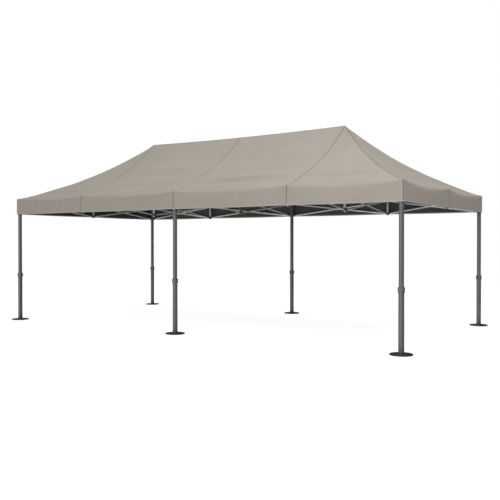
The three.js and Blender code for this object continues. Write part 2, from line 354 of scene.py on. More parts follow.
def tent_object(name, parts, materials, sharp=35.0, body="frame", replaces=(), close=True):
    """One object from several surfaces: doubles are merged, normals turned outwards and sharp edges marked."""
    mesh = bpy.data.meshes.new(name)
    starts = np.cumsum([0] + [len(points) for points, _, _ in parts])
    vertices = np.concatenate([points for points, _, _ in parts])
    quads = np.concatenate([faces + start for (_, faces, _), start in zip(parts, starts)])
    mesh.from_pydata(vertices.tolist(), [], quads.tolist())
    if parts[0][2] is not None:
        uv = np.concatenate([part_uv for _, _, part_uv in parts])
        layer = mesh.uv_layers.new(name="metres")
        layer.data.foreach_set("uv", uv[quads.reshape(-1)].astype(np.float32).reshape(-1))
    work = bmesh.new()
    work.from_mesh(mesh)
    bmesh.ops.remove_doubles(work, verts=work.verts, dist=1e-5)
    if close:
        bmesh.ops.recalc_face_normals(work, faces=work.faces)
    work.to_mesh(mesh)
    work.free()
    mesh.shade_smooth()
    mesh.set_sharp_from_angle(angle=math.radians(sharp))
    for material in materials:
        mesh.materials.append(material)
    piece = bpy.data.objects.new(name, mesh)
    bpy.context.scene.collection.objects.link(piece)
    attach(piece, body)
    if replaces:
        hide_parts(*replaces)
    return piece


def drill(piece, cutters):
    """Cuts round holes through a piece: each cutter is a closed surface taken away from it."""
    mesh = bpy.data.meshes.new("cutter")
    starts = np.cumsum([0] + [len(points) for points, _, _ in cutters])
    vertices = np.concatenate([points for points, _, _ in cutters])
    quads = np.concatenate([faces + start for (_, faces, _), start in zip(cutters, starts)])
    mesh.from_pydata(vertices.tolist(), [], quads.tolist())
    work = bmesh.new()
    work.from_mesh(mesh)
    bmesh.ops.remove_doubles(work, verts=work.verts, dist=1e-5)
    bmesh.ops.recalc_face_normals(work, faces=work.faces)
    work.to_mesh(mesh)
    work.free()
    cutter = bpy.data.objects.new("cutter", mesh)
    bpy.context.scene.collection.objects.link(cutter)
    cut = piece.modifiers.new("holes", "BOOLEAN")
    cut.operation = "DIFFERENCE"
    cut.solver = "EXACT"
    cut.object = cutter
    bpy.context.view_layer.update()
    cut_mesh = bpy.data.meshes.new_from_object(piece.evaluated_get(bpy.context.evaluated_depsgraph_get()))
    piece.modifiers.clear()
    whole = piece.data
    piece.data = cut_mesh
    cut_mesh.name = piece.name
    cut_mesh.shade_smooth()
    cut_mesh.set_sharp_from_angle(angle=math.radians(35))
    bpy.data.objects.remove(cutter)
    bpy.data.meshes.remove(mesh)
    bpy.data.meshes.remove(whole)


def soft_noise(x, y, cell_x, cell_y, seed):
    """Smooth noise from -1 to 1: seeded heights on a lattice, blended by 3t^2 - 2t^3 between its corners."""
    heights = np.random.default_rng(seed).uniform(-1, 1, (64, 64))
    gx, gy = x / cell_x + 32, y / cell_y + 32
    ix, iy = np.floor(gx).astype(int) % 63, np.floor(gy).astype(int) % 63
    tx, ty = gx - np.floor(gx), gy - np.floor(gy)
    tx, ty = tx * tx * (3 - 2 * tx), ty * ty * (3 - 2 * ty)
    low = heights[iy, ix] * (1 - tx) + heights[iy, ix + 1] * tx
    high = heights[iy + 1, ix] * (1 - tx) + heights[iy + 1, ix + 1] * tx
    return low * (1 - ty) + high * ty


# ---------------------------------------------------------------------------------------------------
# The canopy's surface
# ---------------------------------------------------------------------------------------------------

# Soft folds on the roof: side, middle along the side, half length, share of the way up at the middle, tilt,
# half width as a share, and height against the fold height.
ROOF_FOLDS = (
    ("front", 1.02, 0.98, 0.285, 0.012, 0.036, 1.00),
    ("front", 2.84, 0.66, 0.270, 0.020, 0.036, 0.80),
    ("front", -1.00, 1.00, 0.300, -0.010, 0.042, 0.65),
    ("front", -2.84, 0.66, 0.230, 0.020, 0.050, 0.45),
    ("front", 1.10, 0.95, 0.520, -0.015, 0.050, 0.45),
    ("front", -1.10, 0.90, 0.610, 0.015, 0.060, 0.50),
    ("front", 0.90, 0.90, 0.720, 0.010, 0.040, 0.30),
    ("back", 1.05, 1.00, 0.310, -0.012, 0.055, 0.80),
    ("back", -1.05, 1.00, 0.280, 0.014, 0.050, 0.90),
    ("back", 2.84, 0.66, 0.250, -0.020, 0.050, 0.60),
    ("back", -2.84, 0.66, 0.260, 0.018, 0.050, 0.60),
    ("back", 0.00, 1.60, 0.600, 0.006, 0.055, 0.45),
    ("right", -0.35, 0.95, 0.260, 0.030, 0.055, 0.60),
    ("right", 0.20, 0.70, 0.500, -0.020, 0.050, 0.45),
    ("left", 0.30, 0.95, 0.270, -0.020, 0.055, 0.60),
    ("left", -0.15, 0.70, 0.520, 0.020, 0.050, 0.40),
)


def eave_plan(cloth):
    """The eave's plan, a rounded rectangle, as rows of [distance, x, y, normal x, normal y].

    It starts in the middle of the front and runs anticlockwise seen from above.
    """
    r = cloth.corner_round
    a, b = HALF_LENGTH - r, HALF_DEPTH - r
    turn = np.linspace(0, np.pi / 2, 9)
    rows = [np.array([[0.0, -HALF_DEPTH, 0.0, -1.0]])]
    for cx, cy, first in ((a, -b, -np.pi / 2), (a, b, 0.0), (-a, b, np.pi / 2), (-a, -b, np.pi)):
        nx, ny = np.cos(first + turn), np.sin(first + turn)
        rows.append(np.stack([cx + r * nx, cy + r * ny, nx, ny], axis=1))
    rows.append(rows[0])
    plan = np.concatenate(rows)
    walked = np.concatenate([[0], np.cumsum(np.linalg.norm(np.diff(plan[:, :2], axis=0), axis=1))])
    return np.column_stack([walked, plan])


def eave_stops(cloth):
    """Distances round the eave of the upright seams and supports, by name."""
    r = cloth.corner_round
    side = HALF_DEPTH - r
    arc = eave_plan(cloth)[9, 0] - (HALF_LENGTH - r)
    half = HALF_LENGTH - r + arc + side  # front middle to side middle
    whole = 4 * half
    stops = {}
    for name, sign in (("right", 1), ("left", -1)):
        stops[f"front_{name}_peak"] = (sign * PEAK_PLACE) % whole
        stops[f"front_{name}_corner"] = (sign * (HALF_LENGTH - r + arc / 2)) % whole
        stops[f"{name}_middle"] = (sign * half) % whole
        stops[f"back_{name}_corner"] = (sign * (half + side + arc / 2)) % whole
        stops[f"back_{name}_peak"] = 2 * half - sign * PEAK_PLACE
    stops["front_middle"] = 0.0
    stops["back_middle"] = 2 * half
    return stops, whole


def between_supports(place, supports):
    """4 f (1 - f), where f is the share of the way from one support to the next: 0 at each, 1 half way."""
    supports = np.asarray(supports)
    place = np.clip(place, supports[0], supports[-1])
    cell = np.clip(np.searchsorted(supports, place, side="right") - 1, 0, len(supports) - 2)
    f = (place - supports[cell]) / (supports[cell + 1] - supports[cell])
    return 4 * f * (1 - f)


def soft_step(value, reach):
    """reach * ln(1 + e^(value / reach)): nothing well below zero, the value itself well above it."""
    return reach * np.logaddexp(0, value / reach)


def bell(value, reach):
    """e^-(value / reach)^2."""
    return np.exp(-((value / reach) ** 2))


def roof_relief(cloth, side_x, side_y, x, y, share):
    """Height that folds, slack, wrinkles and seams add to the smooth roof.

    The brow is -d (p/w) e^(1 - p/w) at distance p from the eave. Each fold is a bell across the slope times a
    cosine window along it. Slack is long smooth noise that fades out at the eave and ridge. Wrinkles are a wave
    in the angle round each peak, which dies away with distance. Each seam draws the cloth down by a narrow bell.
    """
    on_end = np.abs(side_x) / HALF_LENGTH > np.abs(side_y) / HALF_DEPTH
    sides = {
        "front": ~on_end & (side_y < 0), "back": ~on_end & (side_y > 0), "right": on_end & (side_x > 0),
        "left": on_end & (side_x < 0)
    }
    run = share * HALF_DEPTH
    relief = -cloth.brow_dip * (run / cloth.brow_reach) * np.exp(1 - run / cloth.brow_reach)
    for side, middle, half, height, tilt, width, weight in ROOF_FOLDS:
        along = (y if side in ("left", "right") else x) - middle
        window = np.cos(np.clip(along / half, -1, 1) * np.pi / 2) ** 0.8
        crest = bell(share - height - tilt * along, width) - 0.45 * bell(
            share - height + 1.7 * width - tilt * along, width
        )
        relief = relief + sides[side] * cloth.fold_height * weight * window * crest
    inner = np.clip(4 * share * (1 - share), 0, 1)
    slack = soft_noise(x, y, 1.3, 0.33, 5) + 0.5 * soft_noise(x, y, 0.5, 0.17, 11)
    relief = relief + cloth.slack_height * 0.6 * slack * inner
    for sign in (-1, 1):
        dx, dy = x - sign * PEAK_PLACE, y
        away = np.hypot(dx, dy)
        angle = np.arctan2(dy, dx)
        wave = np.cos(9 * angle + 1.3 * sign) + 0.6 * np.cos(15 * angle + 0.7)
        relief = relief + 0.0070 * wave * np.exp(-away / 0.30) * np.clip(away / 0.08, 0, 1)
    seam_gap = np.minimum(np.abs(x), np.abs(np.abs(x) - PEAK_PLACE))
    pucker = bell(seam_gap, 0.030) * ~on_end
    relief = relief - 0.0022 * pucker * np.clip(share * 12, 0, 1) * np.clip((1 - share) * 12, 0, 1)
    return relief * np.clip((1 - share) * 25, 0, 1)


def canopy_surface(cloth, around, up, relief=1.0):
    """Points of the canopy's outer face, for distances round the eave and distances up from the eave.

    Below the eave the cloth hangs; above it, the share s of the way to the ridge moves the eave's point towards
    the ridge line, and its height rises by k s + (1 - k) s^n. Both ways the distance passes through a soft
    step, which rounds the eave. Between supports the eave sags and bows in, and the valance waves. A relief of
    0 leaves out the folds.
    """
    plan = eave_plan(cloth)
    around = np.mod(around, plan[-1, 0])
    side_x, side_y, normal_x, normal_y = (np.interp(around, plan[:, 0], plan[:, k]) for k in (1, 2, 3, 4))
    a, b = HALF_LENGTH - cloth.corner_round, HALF_DEPTH - cloth.corner_round
    between = between_supports(
        side_x, (-a, -PEAK_PLACE, 0, PEAK_PLACE, a)
    ) + between_supports(side_y, (-b, 0, b))
    bend = cloth.eave_round + cloth.eave_slack * between
    share = np.clip(soft_step(up, bend) / HALF_DEPTH, 0, 1)
    drop = soft_step(-up, bend)
    hang = np.clip(-up / VALANCE_DROP, 0, 1)
    ridge_x = np.clip(side_x, -PEAK_PLACE, PEAK_PLACE)
    ridge_z = PEAK_HEIGHT - (PEAK_HEIGHT - RIDGE_HEIGHT) * (1 - (ridge_x / PEAK_PLACE) ** 2)
    rise = cloth.straight_share * share + (1 - cloth.straight_share) * share**cloth.curve_power
    x = side_x + (ridge_x - side_x) * share
    y = side_y * (1 - share)
    z = EAVE_HEIGHT + (ridge_z - EAVE_HEIGHT) * rise - drop
    fade = (1 - share) ** 5
    z = z - between * fade * (cloth.eave_sag * (1 - hang) + cloth.hem_sag * hang)
    z = z + relief * roof_relief(cloth, side_x, side_y, x, y, share)
    wave = np.sin(around * 7.1 + 0.8) + 0.7 * np.sin(around * 12.3 + 2.1) + 0.5 * np.sin(around * 19.7)
    swell = cloth.valance_wave * wave / 2.2 * hang**1.3 * between
    belly = 0.004 * np.sin(np.pi * hang) * between
    out = swell + belly - cloth.eave_bow * between * fade * (1 - hang)
    return np.stack([x + normal_x * out, y + normal_y * out, z], axis=-1)


def around_samples(cloth):
    """Distances round the eave for the mesh's columns: evenly spread, and closer at each seam and corner."""
    stops, whole = eave_stops(cloth)
    marks = np.sort(np.array(list(stops.values()) + [whole]))
    near = np.array([-0.075, -0.045, -0.028, -0.015, 0, 0.015, 0.028, 0.045, 0.075])
    samples = [np.clip((marks[:, None] + near[None, :]).ravel(), 0, whole)]
    for first, last in zip(marks[:-1], marks[1:]):
        count = max(int(round((last - first - 0.15) * cloth.columns)), 1)
        samples.append(np.linspace(first + 0.075, last - 0.075, count + 1))
    return np.unique(np.round(np.concatenate(samples), 7))


def up_samples():
    """Distances up from the eave for the mesh's rows: closer over the eave's bend."""
    return np.concatenate([
        np.linspace(-VALANCE_DROP, -0.045, 12),
        np.linspace(-0.036, 0.045, 11),
        np.linspace(0.07, 0.90, 30),
        np.linspace(0.94, HALF_DEPTH, 26),
    ])


def surface_normals(points):
    """Unit normals of a (rows, columns, 3) array of points, from the cross product of its two slopes."""
    rows = np.gradient(points, axis=0)
    columns = np.gradient(points, axis=1)
    normals = np.cross(columns, rows)
    return normals / np.maximum(np.linalg.norm(normals, axis=-1, keepdims=True), 1e-9)


def seam_strip(cloth, around, up, width, lift=0.0013):
    """A lapped seam up the canopy at one distance round the eave, as a thin closed strip.

    Its sides keep half the width from the seam, measured on the cloth. Its section is a flat lap with rolled
    edges: at share k across, the height is lift * (1 - |2k - 1|^6), and it dips under the cloth at both edges.
    """
    middle = canopy_surface(cloth, np.full_like(up, around), up)
    test = 0.006
    columns = []
    shares = np.linspace(-1, 1, 9)
    for k in shares:
        step = np.sign(k) * test if k else test
        pace = np.linalg.norm(canopy_surface(cloth, around + step, up) - middle, axis=-1) / test
        reach = np.minimum(abs(k) * width / 2 / np.maximum(pace, 1e-3), 0.45)
        columns.append(canopy_surface(cloth, around + np.sign(k) * reach, up))
    top = np.stack(columns, axis=1)
    normals = surface_normals(top)
    normals[:] = normals[:, 3:6].mean(axis=1, keepdims=True)
    normals /= np.linalg.norm(normals, axis=-1, keepdims=True)
    height = lift * (1 - np.abs(shares) ** 6) - 0.0006 * (np.abs(shares) > 0.99)
    upper = top + normals * height[None, :, None]
    lower = top - normals * 0.0008
    loop = np.concatenate([upper, lower[:, ::-1], upper[:, :1]], axis=1)
    ends = loop[[0, -1]].mean(axis=1, keepdims=True) + np.zeros_like(loop[[0, -1]])
    loop = np.concatenate([ends[:1], loop, ends[1:]])
    walked = np.concatenate([[0], np.cumsum(np.linalg.norm(np.diff(middle, axis=0), axis=1))])
    walked = np.concatenate([walked[:1], walked, walked[-1:]])
    across = np.concatenate([shares, shares[::-1], shares[:1]]) * width / 2
    uv = np.stack(np.broadcast_arrays(walked[:, None], across[None, :]), axis=-1)
    return grid(loop, uv)


# ---------------------------------------------------------------------------------------------------
# Materials
# ---------------------------------------------------------------------------------------------------


class Value:
    """A number that varies over a surface. Arithmetic on it adds Math nodes."""

    def __init__(self, shader, socket):
        self.shader, self.socket = shader, socket

    def _with(self, operation, first, second=None):
        sockets = {0: first} if second is None else {0: first, 1: second}
        return self.shader.value("ShaderNodeMath", {"operation": operation}, sockets)

    def __add__(self, other):
        return self._with("ADD", self, other)

    def __sub__(self, other):
        return self._with("SUBTRACT", self, other)

    def __mul__(self, other):
        return self._with("MULTIPLY", self, other)

    def __pow__(self, other):
        return self._with("POWER", self, other)

    def __rsub__(self, other):
        return self._with("SUBTRACT", other, self)

    __radd__ = __add__
    __rmul__ = __mul__

    def sin(self):
        return self._with("SINE", self)

    def absolute(self):
        return self._with("ABSOLUTE", self)

    def above(self, other):
        return self._with("GREATER_THAN", self, other)

    def wrapped(self, period):
        return self._with("MODULO", self + 1000 * period, period)

    def between(self, low, high):
        """0 below low, 1 above high, smooth in between."""
        return self.shader.value(
            "ShaderNodeMapRange",
            {"interpolation_type": "SMOOTHSTEP", "clamp": True},
            {"Value": self, "From Min": low, "From Max": high},
        )


class Shader:
    """A material under construction, with its Principled node."""

    def __init__(self, name, **constants):
        self.material = bpy.data.materials.new(name)
        self.material.use_nodes = True
        self.tree = self.material.node_tree
        self.principled = self.tree.nodes["Principled BSDF"]
        self.feed(self.principled, constants)

    def feed(self, node, sockets):
        for key, given in sockets.items():
            socket = node.inputs[key.replace("_", " ") if isinstance(key, str) else key]
            if isinstance(given, Value):
                given = given.socket
            if isinstance(given, bpy.types.NodeSocket):
                self.tree.links.new(given, socket)
            elif isinstance(given, (tuple, list)) and len(given) == 3 and socket.type == "RGBA":
                socket.default_value = (*given, 1)
            else:
                socket.default_value = given

    def node(self, kind, settings=None, sockets=None):
        """Adds a node: its settings first, then the values or links of its sockets."""
        node = self.tree.nodes.new(kind)
        for key, given in (settings or {}).items():
            setattr(node, key, given)
        self.feed(node, sockets or {})
        return node

    def value(self, kind, settings=None, sockets=None):
        return Value(self, self.node(kind, settings, sockets).outputs[0])

    def place(self):
        """Object coordinates, which the noise patterns use."""
        return self.node("ShaderNodeTexCoord").outputs["Object"]

    def place_parts(self, socket=None):
        """Values along X, Y and Z of the object coordinates, or of another vector."""
        parts = self.node("ShaderNodeSeparateXYZ", None, {0: socket or self.place()})
        return [Value(self, parts.outputs[k]) for k in range(3)]

    def uv_parts(self):
        """Values along the piece's own UV map, in metres."""
        return self.place_parts(self.node("ShaderNodeUVMap", {"uv_map": "metres"}).outputs[0])[:2]

    def noise(self, scale, detail=2.0, stretch=None):
        """Noise from 0 to 1 at a scale in cells per metre, stretched by a factor for each axis."""
        vector = self.place()
        if stretch:
            vector = self.node("ShaderNodeMapping", None, {"Vector": vector, "Scale": stretch}).outputs[0]
        return self.value("ShaderNodeTexNoise", None, {"Vector": vector, "Scale": scale, "Detail": detail})

    def mix(self, factor, first, second):
        """Colour from first to second as the factor goes from 0 to 1."""
        node = self.node("ShaderNodeMix", {"data_type": "RGBA"})
        self.feed(node, {0: factor, 6: first, 7: second})
        return node.outputs[2]

    def bump(self, height, distance, strength=1.0, under=None):
        """A Bump node on a height from 0 to 1, for a relief of this distance."""
        sockets = {"Height": height, "Distance": distance, "Strength": strength}
        if under is not None:
            sockets["Normal"] = under
        return self.node("ShaderNodeBump", None, sockets).outputs[0]

    def finish(self, **links):
        self.feed(self.principled, links)
        return self.material


def shade(base, factor):
    """A colour made darker or lighter by a factor."""
    return tuple(min(1.0, channel * factor) for channel in base)


def cached(make):
    """Makes each material once."""

    def fetch(*arguments):
        found = bpy.data.materials.get(make.__name__)
        return found or make(*arguments)

    return fetch


@cached
def canopy_outside(cloth):
    """Coated woven polyester: a fine plain weave, faint yarn streaks, soft mottling and packing creases."""
    s = Shader(
        "canopy_outside", Roughness=0.82, Sheen_Weight=0.10, Sheen_Roughness=0.6, Specular_IOR_Level=0.28
    )
    u, v = s.uv_parts()
    base = tuple(cloth.outside)
    mottle = s.noise(1.3, 3.0) * 0.6 + s.noise(9.0, 2.0) * 0.4
    streak = s.noise(260.0, 1.0, stretch=(0.02, 1.0, 1.0)) * 0.5 + s.noise(
        260.0, 1.0, stretch=(1.0, 0.02, 0.02)
    ) * 0.5
    tone = (mottle - 0.5) * 1.3 + (streak - 0.5) * 0.35 + 0.5
    shade_mix = s.mix(tone.between(0.15, 0.85), shade(base, 0.955), shade(base, 1.045))
    weave = ((u * (2 * math.pi / 0.0022)).sin() * (v * (2 * math.pi / 0.0022)).sin()) * 0.5 + 0.5
    crumple = s.noise(14.0, 4.0, stretch=(0.55, 1.0, 1.0))
    crease = (s.noise(3.2, 3.0, stretch=(0.35, 1.0, 1.0)) - 0.5).absolute()
    soft = s.bump(crumple, 0.0022, 0.55)
    creased = s.bump(1 - crease.between(0.0, 0.035), 0.0012, 0.35, soft)
    return s.finish(
        Base_Color=shade_mix,
        Roughness=(s.noise(30.0) - 0.5) * 0.10 + 0.82,
        Normal=s.bump(weave, 0.00018, 0.5, creased),
    )


@cached
def canopy_inside(cloth):
    """The dark waterproof coating: smoother than the outer face, with a faint weave showing through."""
    s = Shader("canopy_inside", Roughness=0.62, Specular_IOR_Level=0.35)
    u, v = s.uv_parts()
    base = tuple(cloth.inside)
    tone = s.noise(2.0, 4.0) * 0.7 + s.noise(40.0, 2.0) * 0.3
    weave = ((u * (2 * math.pi / 0.0022)).sin() * (v * (2 * math.pi / 0.0022)).sin()) * 0.5 + 0.5
    soft = s.bump(s.noise(14.0, 4.0, stretch=(0.55, 1.0, 1.0)), 0.0022, 0.5)
    return s.finish(
        Base_Color=s.mix(tone.between(0.3, 0.7), shade(base, 0.88), shade(base, 1.12)),
        Roughness=(s.noise(60.0) - 0.5) * 0.2 + 0.60,
        Normal=s.bump(weave, 0.00012, 0.4, soft),
    )


def stitched(name, base, rows, thread, pitch=0.0042):
    """Cloth tape sewn on with rows of dashed stitches, at these distances across it.

    A stitch is where the distance across is within the thread's width of a row and the distance along, wrapped
    to one stitch's pitch, is in its longer part.
    """
    s = Shader(name, Roughness=0.85, Sheen_Weight=0.12, Specular_IOR_Level=0.25)
    u, v = s.uv_parts()
    dash = u.wrapped(pitch).above(pitch * 0.28)
    threads = [1 - (v - row).absolute().between(0.0004, 0.0009) for row in rows]
    on_row = sum(threads[1:], threads[0])
    stitch = dash * on_row
    grooves = [1 - (v - row).absolute().between(0.0, 0.003) for row in rows]
    groove = sum(grooves[1:], grooves[0])
    tone = s.noise(60.0, 3.0)
    weave = ((u * (2 * math.pi / 0.0018)).sin() * (v * (2 * math.pi / 0.0018)).sin()) * 0.5 + 0.5
    cloth_colour = s.mix(tone.between(0.3, 0.7), shade(base, 0.9), shade(base, 1.1))
    return s.finish(
        Base_Color=s.mix(stitch, cloth_colour, thread),
        Roughness=(tone - 0.5) * 0.12 + 0.84,
        Normal=s.bump(stitch * 0.8 + (1 - groove) * 0.5 + weave * 0.12, 0.0006, 0.6),
    )


@cached
def seam_tape(cloth):
    """Lapped seams with two rows of stitches."""
    base = tuple(cloth.seam)
    half = cloth.seam_width / 2 - 0.0035
    return stitched("seam_tape", base, (-half, half), shade(base, 0.62))


@cached
def hem_tape(cloth):
    """The hem's lighter binding with one row of stitches near its upper edge."""
    base = tuple(cloth.hem)
    return stitched("hem_tape", base, (cloth.hem_width / 2 - 0.004,), shade(base, 0.70))


def powder_coat(name, base, roughness, metallic, wear):
    """Powder coat: orange peel, dust in its lower tones and fine scratches that run along the tube.

    Orange peel is fine noise in the bump. Scratches are noise stretched a hundredfold along Z and cut to its
    thin crests. Wear mixes in a lighter tone where two noises meet.
    """
    s = Shader(
        name, Roughness=roughness, Metallic=metallic, Specular_IOR_Level=0.5, Coat_Weight=0.15,
        Coat_Roughness=0.35
    )
    peel = s.noise(420.0, 2.0)
    tone = s.noise(3.0, 4.0, stretch=(1.0, 1.0, 0.4))
    scratch = (s.noise(240.0, 2.0, stretch=(1.0, 1.0, 0.012)) - 0.5).absolute()
    scratches = (1 - scratch.between(0.0, 0.012)) * s.noise(6.0, 2.0).between(0.55, 0.75)
    rubbed = s.noise(22.0, 5.0).between(0.60, 0.72) * wear
    painted = s.mix(tone.between(0.3, 0.7), shade(base, 0.93), shade(base, 1.07))
    worn = s.mix(rubbed * 0.5 + scratches * 0.22, painted, shade(base, 1.55))
    return s.finish(
        Base_Color=worn,
        Roughness=(peel - 0.5) * 0.10 + scratches * 0.12 + roughness,
        Normal=s.bump(peel, 0.00006, 0.25),
    )


@cached
def leg_paint(legs):
    """The tubes' grey powder coat."""
    return powder_coat("leg_paint", tuple(legs.paint), 0.24, 0.94, 0.3)


@cached
def collar_paint(legs):
    """The collars' grey powder coat, a touch lighter than the tubes."""
    return powder_coat("collar_paint", shade(tuple(legs.paint), 1.22), 0.30, 0.88, 0.6)


@cached
def foot_paint(legs):
    """The foot plates' dark powder coat, dusty and worn."""
    return powder_coat("foot_paint", tuple(legs.foot_paint), 0.42, 0.70, 0.8)


@cached
def aluminium(trusses):
    """Satin anodised aluminium with die lines along its extrusions and small dull spots."""
    s = Shader("aluminium", Roughness=0.42, Metallic=0.40, Specular_IOR_Level=0.5)
    base = tuple(trusses.aluminium)
    lines = s.noise(900.0, 1.0, stretch=(0.03, 0.03, 1.0))
    cloud = s.noise(7.0, 4.0)
    spots = s.noise(120.0, 2.0).between(0.68, 0.76)
    toned = s.mix(cloud.between(0.3, 0.7), shade(base, 0.92), shade(base, 1.05))
    return s.finish(
        Base_Color=s.mix(spots * 0.4, toned, shade(base, 0.6)),
        Roughness=(cloud - 0.5) * 0.16 + (lines - 0.5) * 0.10 + spots * 0.15 + 0.42,
        Normal=s.bump(lines, 0.00012, 0.3),
    )


@cached
def black_plastic(legs):
    """Moulded nylon with a spark-eroded grain."""
    s = Shader("black_plastic", Roughness=0.52, Specular_IOR_Level=0.45)
    base = tuple(legs.plastic)
    grain = s.noise(1300.0, 2.0)
    tone = s.noise(18.0, 3.0)
    return s.finish(
        Base_Color=s.mix(tone.between(0.3, 0.7), shade(base, 0.8), shade(base, 1.4)),
        Roughness=(grain - 0.5) * 0.15 + (tone - 0.5) * 0.10 + 0.52,
        Normal=s.bump(grain, 0.0002, 0.35),
    )


@cached
def bracket_metal(trusses):
    """Cast aluminium brackets, darker and rougher than the bars."""
    s = Shader("bracket_metal", Roughness=0.5, Metallic=0.8, Specular_IOR_Level=0.5)
    base = shade(tuple(trusses.aluminium), 0.30)
    cast = s.noise(380.0, 3.0)
    tone = s.noise(12.0, 4.0)
    return s.finish(
        Base_Color=s.mix(tone.between(0.3, 0.7), shade(base, 0.85), shade(base, 1.15)),
        Roughness=(tone - 0.5) * 0.15 + 0.5,
        Normal=s.bump(cast, 0.0004, 0.4),
    )


def stage_floor(stage):
    """A pale matt floor, which fades to plain white with distance from the middle."""
    s = Shader("stage_floor", Roughness=0.9, Specular_IOR_Level=0.1)
    s.feed(
        s.principled,
        {"Base Color": (0.30, 0.30, 0.30), "Emission Color": (1, 1, 1), "Emission Strength": 0.92}
    )
    x, y, _ = s.place_parts()
    away = (x * x + y * y) ** 0.5
    glow = s.node("ShaderNodeEmission", None, {"Color": (1, 1, 1), "Strength": 1.0})
    blend = s.node("ShaderNodeMixShader", None, {0: away.between(stage.fade_start, stage.fade_end)})
    s.tree.links.new(s.principled.outputs[0], blend.inputs[1])
    s.tree.links.new(glow.outputs[0], blend.inputs[2])
    s.tree.links.new(blend.outputs[0], s.tree.nodes["Material Output"].inputs[0])
    return s.material


# ---------------------------------------------------------------------------------------------------
# Cloth
# ---------------------------------------------------------------------------------------------------


def flat_area(cloth):
    """Area of the cloth as cut: the smooth roof and valance without folds, from the mesh's cross products."""
    around, up = around_samples(cloth), up_samples()
    points = canopy_surface(
        cloth, around[None, :] + 0 * up[:, None], up[:, None] + 0 * around[None, :], relief=0
    )
    a = points[1:, 1:] - points[:-1, :-1]
    b = points[1:, :-1] - points[:-1, 1:]
    return np.linalg.norm(np.cross(a, b), axis=-1).sum() / 2


def make_canopy(sizes):
    """The whole cloth as one curved sheet, with its dark coating inside."""
    cloth = sizes.cloth
    around, up = around_samples(cloth), up_samples()
    points = canopy_surface(cloth, around[None, :] + 0 * up[:, None], up[:, None] + 0 * around[None, :])
    points[:, -1] = points[:, 0]
    uv = np.stack(np.broadcast_arrays(around[None, :], up[:, None]), axis=-1)
    piece = tent_object(
        "canopy_skin", [grid(points, uv)], [canopy_outside(cloth), canopy_inside(cloth)], sharp=60,
        replaces=["canopy_cloth"], close=False,
    )
    wall = piece.modifiers.new("cloth thickness", "SOLIDIFY")
    wall.thickness = cloth.thickness
    wall.offset = -1
    wall.material_offset = 1
    wall.use_even_offset = True
    return piece


def make_seams(sizes):
    """The lapped seams: four hips, six from the eave to the ridge, the ridge itself and the ends' middles."""
    cloth = sizes.cloth
    stops, _ = eave_stops(cloth)
    material = seam_tape(cloth)
    bottom = -VALANCE_DROP + cloth.hem_width - 0.001
    full = np.concatenate([
        np.linspace(bottom, -0.04, 14), np.linspace(-0.034, 0.04, 14),
        np.linspace(0.05, HALF_DEPTH - 0.012, 90)
    ])
    low = np.concatenate([np.linspace(bottom, -0.04, 14), np.linspace(-0.034, 0.012, 10)])
    parts = []
    for name, around in stops.items():
        up = low if name in ("left_middle", "right_middle") else full
        parts.append(seam_strip(cloth, around, up, cloth.seam_width))
    parts.append(ridge_strip(cloth))
    tent_object("canopy_seams", parts, [material], sharp=50)


def ridge_strip(cloth):
    """The tape along the ridge, laid over both slopes: the same section as a seam, carried from peak to peak."""
    stops, _ = eave_stops(cloth)
    x = np.linspace(-PEAK_PLACE, PEAK_PLACE, 81)
    shares = np.linspace(-1, 1, 9)
    half = cloth.seam_width / 2
    inward = np.abs(shares) * half
    front = canopy_surface(
        cloth, x[:, None] + 0 * inward[None, :], HALF_DEPTH - inward[None, :] + 0 * x[:, None]
    )
    back_around = stops["back_middle"] - x
    back = canopy_surface(
        cloth, back_around[:, None] + 0 * inward[None, :], HALF_DEPTH - inward[None, :] + 0 * x[:, None]
    )
    top = np.where((shares < 0)[None, :, None], front, back)
    lift = 0.0013 * (1 - np.abs(shares) ** 6) - 0.0006 * (np.abs(shares) > 0.99)
    up = np.array([0, 0, 1.0])
    upper = top + up * lift[None, :, None]
    lower = top - up * 0.0008
    loop = np.concatenate([upper, lower[:, ::-1], upper[:, :1]], axis=1)
    ends = loop[[0, -1]].mean(axis=1, keepdims=True) + np.zeros_like(loop[[0, -1]])
    loop = np.concatenate([ends[:1], loop, ends[1:]])
    walked = np.concatenate([x[:1], x, x[-1:]])
    across = np.concatenate([shares, shares[::-1], shares[:1]]) * half
    uv = np.stack(np.broadcast_arrays(walked[:, None], across[None, :]), axis=-1)
    return grid(loop, uv)


def make_hem(sizes):
    """The binding along the lower edge: a flat lap that wraps under the hem, carried round the eave's plan."""
    cloth = sizes.cloth
    around = around_samples(cloth)
    width = cloth.hem_width
    up = np.linspace(-VALANCE_DROP, -VALANCE_DROP + width, 5)
    face = canopy_surface(cloth, around[:, None] + 0 * up[None, :], up[None, :] + 0 * around[:, None])
    plan = eave_plan(cloth)
    normal = np.stack(
        [np.interp(around, plan[:, 0], plan[:, 3]), np.interp(around, plan[:, 0], plan[:, 4]), 0 * around],
        axis=-1
    )
    outer = face + normal[:, None] * np.array([0.0009, 0.0012, 0.0012, 0.0011, 0.0004])[None, :, None]
    inner = face - normal[:, None] * (cloth.thickness + 0.0010)
    under = face[:, :1] - np.array([0, 0, 0.0012])
    loop = np.concatenate(
        [
            under + normal[:, None] * 0.0002, outer, inner[:, ::-1],
            under - normal[:, None] * cloth.thickness, under + normal[:, None] * 0.0002
        ],
        axis=1
    )
    loop[-1] = loop[0]
    across = np.concatenate([[0], up - up[0], (up - up[0])[::-1], [0], [0]]) - width / 2
    uv = np.stack(np.broadcast_arrays(around[:, None], across[None, :]), axis=-1)
    tent_object("canopy_hem", [grid(loop, uv)], [hem_tape(cloth)], sharp=70)


def declare_cloth(sizes):
    """Says what the cloth was cut to, and what it is stretched over."""
    area = float(flat_area(sizes.cloth))


